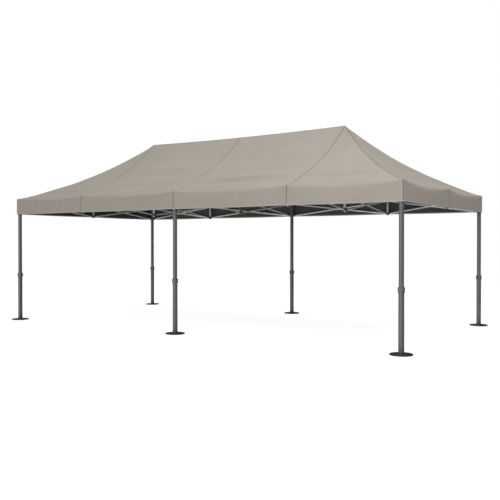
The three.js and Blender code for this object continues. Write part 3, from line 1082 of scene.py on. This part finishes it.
# ---------------------------------------------------------------------------------------------------
# Legs
# ---------------------------------------------------------------------------------------------------


def tube_profile(outer, inner, bottom, top, edge):
    """A tube's closed profile with eased edges."""
    return eased([(inner, bottom), (outer, bottom), (outer, top), (inner, top)], edge, 4, closed=True)


def inward_of(leg):
    """Direction along Y from a leg to the inside of the tent."""
    return np.array([0, 1.0 if leg.startswith("front") else -1.0, 0])


def wall_radii(node, height):
    """Inner and outer radius of a frame tube, from its vertices near a height."""
    points = node_points(node)
    low, high = node_corners(node)
    centre = (low[:2] + high[:2]) / 2
    near = points[np.abs(points[:, 2] - height) < 1e-3]
    away = np.hypot(*(near[:, :2] - centre).T)
    return away.min(), away.max()


def make_upper_tubes(sizes):
    """The upper tubes, with the row of height holes and a closed cap on top."""
    legs = sizes.legs
    for leg in LEG_NAMES:
        node = f"{leg}_upper_leg"
        x, y = leg_place(leg)
        low, high = node_corners(node)
        inner, outer = wall_radii(node, high[2])
        profile = tube_profile(outer, inner, low[2], high[2], legs.edge)
        piece = tent_object(
            f"{leg}_upper_tube", [turned(profile, (x, y, 0), sides=legs.sides)], [leg_paint(legs)],
            replaces=[node]
        )
        knob = np.mean(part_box(f"{leg}_lock_knob"), axis=0)
        cutters = []
        for i in (1, 2, 3):
            origin = np.array([x, y, knob[2] + i * legs.hole_step])
            cone = [
                (0, 0.02), (legs.hole_radius, 0.02), (legs.hole_radius, outer - 0.0008),
                (legs.hole_radius + 0.0022, outer + 0.001), (legs.hole_radius + 0.0022, 0.05), (0, 0.05)
            ]
            cutters.append(turned(cone, origin, inward_of(leg), sides=20))
        drill(piece, cutters)


def make_lower_tubes(sizes):
    """The lower tubes, drilled for the knob's pin."""
    legs = sizes.legs
    for leg in LEG_NAMES:
        node = f"{leg}_lower_leg"
        x, y = leg_place(leg)
        low, high = node_corners(node)
        inner, outer = wall_radii(node, high[2])
        profile = tube_profile(outer, inner, low[2], high[2], legs.edge)
        piece = tent_object(
            f"{leg}_lower_tube", [turned(profile, (x, y, 0), sides=legs.sides)], [leg_paint(legs)],
            body=f"{leg}_leg", replaces=[node],
        )
        knob = np.mean(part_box(f"{leg}_lock_knob"), axis=0)
        bore = [(0, 0.02), (0.0066, 0.02), (0.0066, 0.06), (0, 0.06)]
        drill(piece, [turned(bore, (x, y, knob[2]), inward_of(leg), sides=20)])


def make_collars(sizes):
    """The clamping collars: a rolled body with a groove, a raised band at each end and the knob's boss."""
    legs = sizes.legs
    for leg in LEG_NAMES:
        node = f"{leg}_leg_collar"
        x, y = leg_place(leg)
        low, high = node_corners(node)
        bottom, top = low[2], high[2]
        middle = (bottom + top) / 2
        outer = (high[0] - low[0]) / 2
        grip = wall_radii(node, bottom)[0]
        lip = wall_radii(node, top)[0]
        step = node_corners(f"{leg}_lower_leg")[1][2] + FACE_GAP
        body = [
            (grip, bottom), (outer - 0.007, bottom), (outer - 0.002, bottom + 0.005), (outer, bottom + 0.008),
            (outer, middle - 0.009), (outer - 0.003, middle - 0.006), (outer - 0.003, middle + 0.006),
            (outer, middle + 0.009), (outer, top - 0.008), (outer - 0.002, top - 0.005), (outer - 0.007, top),
            (lip, top), (lip, step), (grip, step),
        ]
        piece = tent_object(
            f"{leg}_collar", [
                turned(eased(body, 0.0022, 4, closed=True), (x, y, 0), sides=legs.sides)
            ], [collar_paint(legs)],
            body=f"{leg}_leg", replaces=[node],
        )
        bore = [(0, 0.02), (0.0086, 0.02), (0.0086, 0.08), (0, 0.08)]
        drill(piece, [turned(bore, (x, y, middle), inward_of(leg), sides=20)])


def make_knobs(sizes):
    """The spring knobs: a pin and stem with a ribbed pull.

    The pull's radius follows R (1 - 0.035 (1 - cos(10 a))), which gives ten finger ribs.
    """
    legs = sizes.legs
    for leg in LEG_NAMES:
        node = f"{leg}_lock_knob"
        x, y = leg_place(leg)
        low, high = node_corners(node)
        inward = inward_of(leg)
        z = (low[2] + high[2]) / 2
        near, far = sorted(abs(value - y) for value in (low[1], high[1]))
        radius = (high[2] - low[2]) / 2
        face = far - 0.012
        stem = [
            (0, near), (0.0055, near), (0.006, near + 0.0006), (0.006, 0.0406), (0.008, 0.0406),
            (0.008, face + 0.001), (0, face + 0.001)
        ]
        head = eased(
            [
                (0, face), (radius - 0.003, face), (radius, face + 0.003), (radius, far - 0.003),
                (radius - 0.003, far), (radius - 0.006, far - 0.001), (0, far - 0.001)
            ],
            0.0014, 4
        )
        points, quads, _ = turned(head, (x, y, z), inward, sides=60)
        spokes = points - np.array([x, y, z])
        along = spokes @ inward
        flat = spokes - along[:, None] * inward
        angle = np.arctan2(flat[:, 2], flat[:, 0])
        reach = np.linalg.norm(flat, axis=1)
        rib = 1 - 0.035 * (1 - np.cos(10 * angle)) * np.clip((reach - radius * 0.6) / (radius * 0.3), 0, 1)
        points = np.array([x, y, z]) + along[:, None] * inward + flat * rib[:, None]
        tent_object(
            f"{leg}_knob_pull", [
                turned(stem, (x, y, z), inward, sides=28), (points, quads, None)
            ], [black_plastic(legs)],
            body=f"{leg}_knob", replaces=[node],
        )


def make_foot_plates(sizes):
    """The round foot plates: a rolled rim, a socket with its weld, and three chamfered peg holes."""
    legs = sizes.legs
    for leg in LEG_NAMES:
        node = f"{leg}_foot_plate"
        x, y = leg_place(leg)
        low, high = node_corners(node)
        radius = (high[0] - low[0]) / 2
        points = node_points(node)
        away = np.hypot(points[:, 0] - x, points[:, 1] - y)
        thick = points[away > radius - 0.01][:, 2].max()
        bore = node_corners(f"{leg}_lower_leg")[1][0] - x + FACE_GAP
        top = high[2]
        socket = away[points[:, 2] > top - 1e-4].max()
        weld = legs.weld
        throat = np.linspace(0, np.pi / 2, 6)
        fillet = [(socket + weld * (1 - math.sin(a)), thick + weld * (1 - math.cos(a))) for a in throat]
        rim = eased(
            [(radius - 0.008, 0), (radius, 0.0), (radius, thick), (radius - 0.008, thick)], legs.rim, 6
        )
        profile = np.vstack([
            [(0, 0)], rim, fillet,
            eased([(socket, thick + weld), (socket, top), (bore, top), (bore, thick + 0.002)], 0.0014, 4),
            [(bore, thick), (0, thick)]
        ])
        piece = tent_object(
            f"{leg}_foot", [turned(profile, (x, y, 0), sides=96)], [foot_paint(legs)],
            body=f"{leg}_leg", replaces=[node],
        )
        mouth = PEG_RADIUS + PEG_CHAMFER
        cone = [
            (0, -0.01), (mouth, -0.01), (mouth, 0), (PEG_RADIUS, PEG_CHAMFER), (
                PEG_RADIUS, thick - PEG_CHAMFER
            ),
            (mouth, thick), (mouth, 0.03), (0, 0.03),
        ]
        first = 0 if leg.startswith("front") else math.pi
        angles = [first + (2 * k + 1) * math.pi / 3 for k in range(3)]
        drill(
            piece,
            [turned(
                cone, (x + PEG_RING * math.cos(a), y + PEG_RING * math.sin(a), 0), sides=28
            ) for a in angles]
        )


# ---------------------------------------------------------------------------------------------------
# Trusses
# ---------------------------------------------------------------------------------------------------


def pivots(middle, directions, spread):
    """The two pivots of a bar: half its width in from each end."""
    reach = spread[0] / 2 - spread[1] / 2
    return middle - directions[0] * reach, middle + directions[0] * reach


def bar_parts(trusses, middle, directions, spread):
    """A bar as an eased rounded section carried along its length, shorter by its two plugs' heads."""
    along, across, _ = directions
    outline = section(spread[1], spread[2], trusses.corner)
    reach = spread[0] / 2 - 0.002
    return swept(outline, middle - along * reach, middle + along * reach, across)


def plug_parts(trusses, middle, directions, spread):
    """The plastic plug over each end of a bar: a slightly larger section."""
    along, across, _ = directions
    outline = section(spread[1] + 0.001, spread[2] + 0.001, trusses.corner)
    parts = []
    for sign in (-1, 1):
        tip = middle + sign * along * spread[0] / 2
        parts.append(swept(outline, tip - sign * along * trusses.plug_length * 0.45, tip, across, 0.0012))
    return parts


def rivet_parts(trusses, point, axis, low, high):
    """A rivet through a joint: a domed head, a shank and a rolled tail, turned about the joint's axis."""
    r, h = trusses.rivet_radius, trusses.rivet_height
    shank = r * 0.5
    arc = np.linspace(0, np.pi / 2, 6)
    head = [(r * math.cos(a), high + h * math.sin(a)) for a in arc]
    tail = [(r * 0.8 * math.cos(a), low - h * 0.7 * math.sin(a)) for a in arc[::-1]]
    profile = [*tail, (shank, low), (shank, high), *head]
    return turned(profile, point, axis, sides=20)


def make_side_trusses(sizes):
    """The four side trusses: a tube for each bar of the frame, their plugs, and rivets with washers."""
    trusses = sizes.trusses
    for side in TRUSS_SIDES:
        plugs, rivets = [], []
        for node in truss_bars(side):
            middle, directions, spread = bar_frame(node)
            tent_object(
                node.replace("_bar", "_tube"), [bar_parts(trusses, middle, directions, spread)],
                [aluminium(trusses)], replaces=[node]
            )
            plugs += plug_parts(trusses, middle, directions, spread)
            half = spread[2] / 2
            for point in pivots(middle, directions, spread):
                rivets.append(rivet_parts(trusses, point, directions[2], -half, half))
        for i in range(TRUSS_SIDES[side]):
            rising = bar_frame(f"{side}_scissor_{i + 1}_rising_bar")
            falling = bar_frame(f"{side}_scissor_{i + 1}_falling_bar")
            centre = (rising[0] + falling[0]) / 2
            gap = np.abs((falling[0] - rising[0]) @ rising[1][2]) / 2
            outer = gap + rising[2][2] / 2
            inner = gap - rising[2][2] / 2
            rivets.append(rivet_parts(trusses, centre, rising[1][2], -outer, outer))
            washer = eased(
                [(0.003, -inner), (0.013, -inner), (0.013, inner), (0.003, inner)], 0.0008, 3, closed=True
            )
            rivets.append(turned(washer, centre, rising[1][2], sides=24))
        tent_object(f"{side}_truss_plugs", plugs, [black_plastic(sizes.legs)])
        tent_object(f"{side}_truss_rivets", rivets, [aluminium(trusses)], sharp=30)


def cross_geometry(column):
    """Plane, outer and inner pivot, both pivot heights and the bars' spread of a truss across the tent."""
    low, high = node_corners(f"{column}_cross_truss")
    middle, directions, spread = bar_frame("right_scissor_1_rising_bar")
    a, b = pivots(middle, directions, spread)
    half = spread[1] / 2
    inner = min(abs(a[1]), abs(b[1]))
    bottom, top = sorted((a[2], b[2]))
    return (low[0] + high[0]) / 2, high[1] - half, inner, bottom, top, spread


def make_cross_trusses(sizes):
    """The three trusses across the tent: eight half bars each and a hub with its four forks."""
    trusses = sizes.trusses
    for column in LEG_COLUMNS:
        x, outer, inner, bottom, top, spread = cross_geometry(column)
        low, high = node_corners(f"{column}_cross_truss")
        hub_radius = (high[0] - low[0]) / 2
        reach = bottom - low[2]
        offset = spread[2] / 2 + SCISSOR_GAP
        bars, plugs, rivets, hubs = [], [], [], []
        for side in (-1, 1):
            for rise in (-1, 1):
                place = x + rise * offset
                z_near, z_far = (bottom, top) if rise > 0 else (top, bottom)
                a = np.array([place, side * inner, z_near])
                b = np.array([place, side * outer, z_far])
                along = (b - a) / np.linalg.norm(b - a)
                through = np.array([1.0, 0, 0])
                across = np.cross(through, along)
                size = np.array([np.linalg.norm(b - a) + spread[1], spread[1], spread[2]])
                middle = (a + b) / 2
                directions = np.array([along, across, through])
                bars.append(bar_parts(trusses, middle, directions, size))
                plugs += plug_parts(trusses, middle, directions, size)
                for point in (a, b):
                    rivets.append(rivet_parts(trusses, point, through, -spread[2] / 2, spread[2] / 2))
            centre = np.array([x, side * (inner + outer) / 2, (bottom + top) / 2])
            rivets.append(
                rivet_parts(trusses, centre, (1, 0, 0), -spread[2] - SCISSOR_GAP, spread[2] + SCISSOR_GAP)
            )
            washer = eased(
                [(0.003, -SCISSOR_GAP), (0.013, -SCISSOR_GAP), (0.013, SCISSOR_GAP), (0.003, SCISSOR_GAP)],
                0.0008, 3, closed=True
            )
            rivets.append(turned(washer, centre, (1, 0, 0), sides=24))
        core = 0.0 if column == "middle" else 0.0226
        for z in (bottom, top):
            rim = [
                (core, z - reach), (hub_radius, z - reach), (hub_radius, z - 0.012), (
                    hub_radius - 0.004, z - 0.009
                ),
                (
                    hub_radius - 0.004, z + 0.009
                ), (hub_radius, z + 0.012), (hub_radius, z + reach), (core, z + reach),
            ]
            hubs.append(turned(eased(rim, 0.002, 4, closed=core > 0), (x, 0, 0), sides=48))
            for side in (-1, 1):
                hubs += ear_parts(trusses, (x, 0, z), (0, side, 0), hub_radius - 0.006, inner + FORK_END)
        if column == "middle":
            post = tube_profile(0.022, 0.0195, bottom - reach + 0.001, top + reach - 0.001, 0.001)
            hubs.append(turned(post, (x, 0, 0), sides=40))
        tent_object(
            f"{column}_cross_bars", bars, [aluminium(trusses)], replaces=[f"{column}_cross_truss"],
        )
        tent_object(f"{column}_cross_plugs", plugs, [black_plastic(sizes.legs)])
        tent_object(f"{column}_cross_rivets", rivets, [aluminium(trusses)], sharp=30)
        tent_object(f"{column}_cross_hub", hubs, [bracket_metal(trusses)], sharp=30)


def ear_parts(trusses, centre, direction, near, far, spread=0.0176, half_height=0.0145):
    """A fork of two ears: each an outline of a flat tongue with a round end, carried through its thickness."""
    centre, direction = np.asarray(centre, dtype=float), np.asarray(direction, dtype=float)
    through = np.cross(direction, (0, 0, 1))
    angle = np.linspace(-np.pi / 2, np.pi / 2, 10)
    tongue = np.vstack([
        [(near, -half_height * 1.25)],
        np.stack([far - half_height + half_height * np.cos(angle), half_height * np.sin(angle)], axis=1),
        [(near, half_height * 1.25)],
        [(near, -half_height * 1.25)],
    ])
    middle = (near + far) / 2
    outline = tongue - np.array([middle, 0])
    parts = []
    for sign in (-1, 1):
        base = centre + direction * middle + sign * through * spread
        start = base - through * trusses.ear_thickness / 2
        end = base + through * trusses.ear_thickness / 2
        points, quads, _ = plate(outline, start, end, direction)
        parts.append((points, quads, None))
    return parts


def plate(outline, start, end, across):
    """An outline carried through a small thickness: rings at scales 0, 0.97, 1, 1, 0.97 and 0 close its faces."""
    across = np.asarray(across, dtype=float)
    up = np.array([0, 0, 1.0])
    scale = np.array([0, 0.97, 1, 1, 0.97, 0])
    share = np.array([0, 0, 0.15, 0.85, 1, 1])
    ring = scale[:, None, None] * outline[None]
    points = start + share[:, None, None] * (end - start) + ring[..., :1] * across + ring[..., 1:] * up
    return grid(points)


def truss_directions(leg):
    """Directions of the trusses that meet at a leg."""
    inward = inward_of(leg)
    if "left" in leg:
        return [np.array([1.0, 0, 0]), inward]
    if "right" in leg:
        return [np.array([-1.0, 0, 0]), inward]
    return [np.array([1.0, 0, 0]), np.array([-1.0, 0, 0]), inward]


def make_leg_brackets(sizes):
    """A square head bracket and a round slider on each leg, with forks for the trusses that meet there."""
    trusses = sizes.trusses
    _, _, _, bottom, top, _ = cross_geometry("middle")
    middle, directions, bar_spread = bar_frame("front_scissor_1_rising_bar")
    offset = min(
        abs(point[0] - leg_place("front_left")[0]) for point in pivots(middle, directions, bar_spread)
    )
    half = trusses.bracket_height / 2
    for leg in LEG_NAMES:
        x, y = leg_place(leg)
        tube = wall_radii(f"{leg}_upper_leg", node_corners(f"{leg}_upper_leg")[1][2])[1]
        square = section(trusses.bracket_width, trusses.bracket_width, 0.012, 6)
        parts = [
            swept(square, (x, y, top - half), (x, y, top + 0.026), (1, 0, 0), 0.003),
            turned(
                eased(
                    [
                        (0, top + 0.026), (tube + 0.002, top + 0.026), (tube + 0.002, top + 0.036),
                        (0, top + 0.036)
                    ],
                    0.003, 4
                ),
                (x, y, 0), sides=40
            ),
        ]
        for direction in truss_directions(leg):
            parts += ear_parts(
                trusses, (x, y, top), direction, trusses.bracket_width / 2 - 0.004, offset + FORK_END
            )
        tent_object(f"{leg}_head_bracket", parts, [bracket_metal(trusses)], sharp=30)
        sleeve = tube + 0.0095
        ring = [
            (tube + 0.0008, bottom - half), (sleeve, bottom - half), (sleeve, bottom - half + 0.010), (
                sleeve - 0.003, bottom - half + 0.013
            ),
            (
                sleeve - 0.003, bottom + half - 0.013
            ), (sleeve, bottom + half - 0.010), (sleeve, bottom + half), (tube + 0.0008, bottom + half),
        ]
        parts = [turned(eased(ring, 0.0016, 4, closed=True), (x, y, 0), sides=56)]
        for direction in truss_directions(leg):
            parts += ear_parts(trusses, (x, y, bottom), direction, sleeve - 0.006, offset + FORK_END)
        tent_object(f"{leg}_slider", parts, [bracket_metal(trusses)], sharp=30)


def joint_places():
    """Where two scissors of a side truss meet away from a leg: name, place, and direction along the truss."""
    x_leg, y_leg = np.abs(leg_place("front_right"))
    return [
        ("front_left_joint", (-PEAK_PLACE, -y_leg), (1, 0, 0)),
        ("front_right_joint", (PEAK_PLACE, -y_leg), (1, 0, 0)),
        ("back_left_joint", (-PEAK_PLACE, y_leg), (1, 0, 0)),
        ("back_right_joint", (PEAK_PLACE, y_leg), (1, 0, 0)),
        ("left_joint", (-x_leg, 0), (0, 1, 0)),
        ("right_joint", (x_leg, 0), (0, 1, 0)),
    ]


def make_joint_posts(sizes):
    """The posts between two scissors: a light tube between an upper and a lower bracket with their forks."""
    trusses = sizes.trusses
    _, _, _, bottom, top, _ = cross_geometry("middle")
    middle, directions, bar_spread = bar_frame("right_scissor_1_rising_bar")
    offset = min(abs(point[1]) for point in pivots(middle, directions, bar_spread))
    for name, (x, y), along in joint_places():
        radius = trusses.post_radius
        tube = tube_profile(radius, radius - 0.0025, bottom - 0.030, top + 0.024, 0.001)
        tent_object(
            f"{name}_post", [turned(tube, (x, y, 0), sides=36)], [aluminium(trusses)]
        )
        parts = []
        inward = np.array([0, -np.sign(y), 0]) if y else np.array([-np.sign(x), 0, 0])
        for z in (bottom, top):
            ring = [
                (radius + 0.0004, z - 0.022), (radius + 0.007, z - 0.022), (radius + 0.009, z - 0.017),
                (radius + 0.009, z + 0.017), (radius + 0.007, z + 0.022), (radius + 0.0004, z + 0.022),
            ]
            parts.append(turned(eased(ring, 0.0015, 4, closed=True), (x, y, 0), sides=40))
            for sign in (-1, 1):
                parts += ear_parts(
                    trusses, (x, y, z), sign * np.array(along, dtype=float), radius + 0.004, offset + FORK_END
                )
            if "_" in name.replace("_joint", ""):
                parts += ear_parts(trusses, (x, y, z), inward, radius + 0.004, 0.075 + FORK_END)
        parts.append(turned(
            [
                (0, top + 0.024), (radius + 0.004, top + 0.024), (radius + 0.004, top + 0.030),
                (radius - 0.004, top + 0.035), (0, top + 0.035)
            ],
            (x, y, 0), sides=36
        ))
        parts.append(turned(
            [
                (0, bottom - 0.036), (radius - 0.003, bottom - 0.036), (radius + 0.003, bottom - 0.031),
                (radius + 0.003, bottom - 0.027), (0, bottom - 0.027)
            ],
            (x, y, 0), sides=36
        ))
        tent_object(f"{name}_bracket", parts, [bracket_metal(trusses)], sharp=30)


def make_peak_poles(sizes):
    """The two peak poles, each with a padded cap that the cloth rests on."""
    trusses = sizes.trusses
    for side in ("left", "right"):
        node = f"{side}_peak_pole"
        low, high = node_corners(node)
        x, y = (low[:2] + high[:2]) / 2
        radius = (high[0] - low[0]) / 2
        bottom, top = low[2], high[2]
        pole = eased([(0, bottom), (radius, bottom), (radius, top - 0.05), (0, top - 0.05)], 0.0015, 4)
        tent_object(
            f"{side}_pole", [turned(pole, (x, y, 0), sides=48)], [aluminium(trusses)], replaces=[node],
        )
        arc = np.linspace(0, np.pi / 2, 8)
        dome = [((radius + 0.0025) * math.cos(a), top - 0.022 + 0.022 * math.sin(a)) for a in arc]
        cap = [(0, top - 0.060), (radius + 0.0025, top - 0.060), *dome]
        tent_object(
            f"{side}_pole_cap", [turned(cap, (x, y, 0), sides=48)], [black_plastic(sizes.legs)],
        )


# ---------------------------------------------------------------------------------------------------
# Stage
# ---------------------------------------------------------------------------------------------------


def aim(target, place, point):
    """Turns an object at a place so that its -Z axis looks at a point."""
    target.location = place
    target.rotation_euler = (Vector(point) - Vector(place)).to_track_quat("-Z", "Y").to_euler()


def soft_light(name, place, point, width, height, power, glossy=False):
    """A large soft area light aimed at a point: it lights matt surfaces, or is only seen in glossy ones."""
    light = bpy.data.lights.new(name, "AREA")
    light.shape = "RECTANGLE"
    light.size, light.size_y = width, height
    light.energy = power
    lamp = bpy.data.objects.new(name, light)
    bpy.context.scene.collection.objects.link(lamp)
    aim(lamp, place, point)
    lamp.visible_glossy = glossy
    lamp.visible_diffuse = not glossy
    lamp.visible_camera = False
    return lamp


def make_stage(sizes):
    """A pale floor that fades to white, soft lights and the camera."""
    stage = sizes.stage
    scene = bpy.context.scene
    half = stage.floor_half
    corners = np.array(
        [[[-half, -half, 0], [half, -half, 0]], [[-half, half, 0], [half, half, 0]]], dtype=float
    )
    points, quads, _ = grid(corners)
    mesh = bpy.data.meshes.new("stage_floor")
    mesh.from_pydata((points - np.array([0, 0, 0.0005])).tolist(), [], quads.tolist())
    mesh.materials.append(stage_floor(stage))
    floor = bpy.data.objects.new("stage_floor", mesh)
    scene.collection.objects.link(floor)

    soft_light("key_light", (8.5, -14.5, 3.2), (0.5, 0, 1.6), 9.0, 6.0, stage.key_power)
    soft_light("gloss_card", (-3.0, -25.0, 2.0), (1.0, 0, 1.5), 6.0, 10.0, stage.card_power, glossy=True)
    soft_light("front_light", (7.0, -6.5, 8.5), (1.5, -0.5, 2.5), 5.0, 4.0, stage.front_power)
    soft_light("top_light", (0.0, 4.5, 13.0), (0.5, 0, 2.8), 7.0, 5.0, stage.top_power)
    soft_light("fill_light", (13.0, 1.0, 6.5), (2.5, 0, 2.3), 6.0, 5.0, stage.fill_power)
    floor.visible_glossy = False
    floor.visible_diffuse = False

    world = bpy.data.worlds.new("studio_world")
    world.use_nodes = True
    tree = world.node_tree
    tree.nodes.clear()
    output = tree.nodes.new("ShaderNodeOutputWorld")
    seen = tree.nodes.new("ShaderNodeBackground")
    seen.inputs["Color"].default_value = (1, 1, 1, 1)
    lit = tree.nodes.new("ShaderNodeBackground")
    place = tree.nodes.new("ShaderNodeTexCoord")
    turn = tree.nodes.new("ShaderNodeVectorMath")
    turn.operation = "DOT_PRODUCT"
    turn.inputs[1].default_value = (-0.60, -0.74, 0.30)
    side = tree.nodes.new("ShaderNodeMapRange")
    side.interpolation_type = "SMOOTHSTEP"
    for key, given in (("From Min", -0.12), ("From Max", 0.20), ("To Min", 0.03), ("To Max", 1.0)):
        side.inputs[key].default_value = given
    parts = tree.nodes.new("ShaderNodeSeparateXYZ")
    rise = tree.nodes.new("ShaderNodeMapRange")
    for key, given in (("From Min", 0.0), ("From Max", 0.9), ("To Min", 0.95), ("To Max", 1.20)):
        rise.inputs[key].default_value = given
    both = tree.nodes.new("ShaderNodeMath")
    both.operation = "MULTIPLY"
    level = tree.nodes.new("ShaderNodeMath")
    level.operation = "MULTIPLY_ADD"
    level.inputs[1].default_value = stage.sky
    below = tree.nodes.new("ShaderNodeMapRange")
    below.interpolation_type = "SMOOTHSTEP"
    for key, given in (("From Min", -0.50), ("From Max", -0.20), ("To Min", stage.bounce), ("To Max", 0.0)):
        below.inputs[key].default_value = given
    path = tree.nodes.new("ShaderNodeLightPath")
    blend = tree.nodes.new("ShaderNodeMixShader")
    link = tree.links.new
    link(place.outputs["Generated"], turn.inputs[0])
    link(turn.outputs["Value"], side.inputs["Value"])
    link(place.outputs["Generated"], parts.inputs[0])
    link(parts.outputs["Z"], rise.inputs["Value"])
    link(side.outputs[0], both.inputs[0])
    link(rise.outputs[0], both.inputs[1])
    link(both.outputs[0], level.inputs[0])
    link(parts.outputs["Z"], below.inputs["Value"])
    link(below.outputs[0], level.inputs[2])
    link(level.outputs[0], lit.inputs["Strength"])
    link(path.outputs["Is Camera Ray"], blend.inputs[0])
    link(lit.outputs[0], blend.inputs[1])
    link(seen.outputs[0], blend.inputs[2])
    link(blend.outputs[0], output.inputs[0])
    scene.world = world

    camera_data = bpy.data.cameras.new("camera")
    camera_data.sensor_width = 36
    camera_data.lens = stage.lens
    camera_data.clip_end = 200
    camera = bpy.data.objects.new("camera", camera_data)
    scene.collection.objects.link(camera)
    look = (
        -math.sin(stage.yaw) * math.cos(stage.pitch), math.cos(stage.yaw) * math.cos(stage.pitch),
        math.sin(stage.pitch)
    )
    place = (stage.camera_x, stage.camera_y, stage.camera_z)
    aim(camera, place, tuple(p + d for p, d in zip(place, look)))
    scene.camera = camera
    scene.view_settings.view_transform = "Standard"


# ---------------------------------------------------------------------------------------------------
# Operators and panel
# ---------------------------------------------------------------------------------------------------


def build_operator(name, label, note, *makers):
    """An Operator class that runs these makers on the scene's sizes."""

    def execute(self, context):
        for make in makers:
            make(context.scene.tent_sizes)
        return {"FINISHED"}

    words = {
        "bl_idname": f"tent.{name}", "bl_label": label, "__doc__": note, "bl_options": {"REGISTER", "UNDO"},
        "execute": execute
    }
    return type(f"TENT_OT_{name}", (Operator,), words)


OPERATORS = (
    build_operator(
        "canopy", "Canopy cloth", "Builds the one-piece cloth of the roof and valance", make_canopy
    ),
    build_operator(
        "seams", "Seams and hem", "Builds the seams and the hem tape, and says how the cloth was cut",
        make_seams, make_hem, declare_cloth
    ),
    build_operator("upper_tubes", "Upper leg tubes", "Builds the six upper leg tubes", make_upper_tubes),
    build_operator("lower_tubes", "Lower leg tubes", "Builds the six lower leg tubes", make_lower_tubes),
    build_operator("collars", "Leg collars", "Builds the collars that hold the legs' height", make_collars),
    build_operator("knobs", "Spring knobs", "Builds the spring knobs of the collars", make_knobs),
    build_operator("feet", "Foot plates", "Builds the round foot plates", make_foot_plates),
    build_operator(
        "side_trusses", "Side trusses", "Builds the scissor bars along the four sides", make_side_trusses
    ),
    build_operator(
        "cross_trusses", "Cross trusses", "Builds the three trusses across the tent", make_cross_trusses
    ),
    build_operator(
        "brackets", "Leg brackets", "Builds the head brackets and sliders on the legs", make_leg_brackets
    ),
    build_operator("posts", "Joint posts", "Builds the posts where two scissors meet", make_joint_posts),
    build_operator("poles", "Peak poles", "Builds the poles that hold up the peaks", make_peak_poles),
    build_operator("stage", "Stage", "Builds the floor, the lights and the camera", make_stage),
)


class TENT_PT_parts(Panel):
    """Lists the tent's sizes and parts."""

    bl_label = "Canopy tent"
    bl_idname = "TENT_PT_parts"
    bl_space_type = "VIEW_3D"
    bl_region_type = "UI"
    bl_category = "Canopy tent"

    def draw(self, context):
        sizes = context.scene.tent_sizes
        for group in (sizes.cloth, sizes.legs, sizes.trusses, sizes.stage):
            box = self.layout.box()
            for key in group.bl_rna.properties.keys():
                if key not in ("rna_type", "name"):
                    box.prop(group, key)
        for operator in OPERATORS:
            self.layout.operator(operator.bl_idname)


CLASSES = (TentClothSizes, TentLegSizes, TentTrussSizes, TentStageSizes, TentSizes, *OPERATORS, TENT_PT_parts)


def register():
    for each in CLASSES:
        bpy.utils.register_class(each)
    bpy.types.Scene.tent_sizes = PointerProperty(type=TentSizes)


def unregister():
    del bpy.types.Scene.tent_sizes
    for each in reversed(CLASSES):
        bpy.utils.unregister_class(each)


def main():
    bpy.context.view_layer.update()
    register()
    for operator in OPERATORS:
        getattr(bpy.ops.tent, operator.bl_idname.split(".")[1])()


if __name__ == "__main__":
    main()
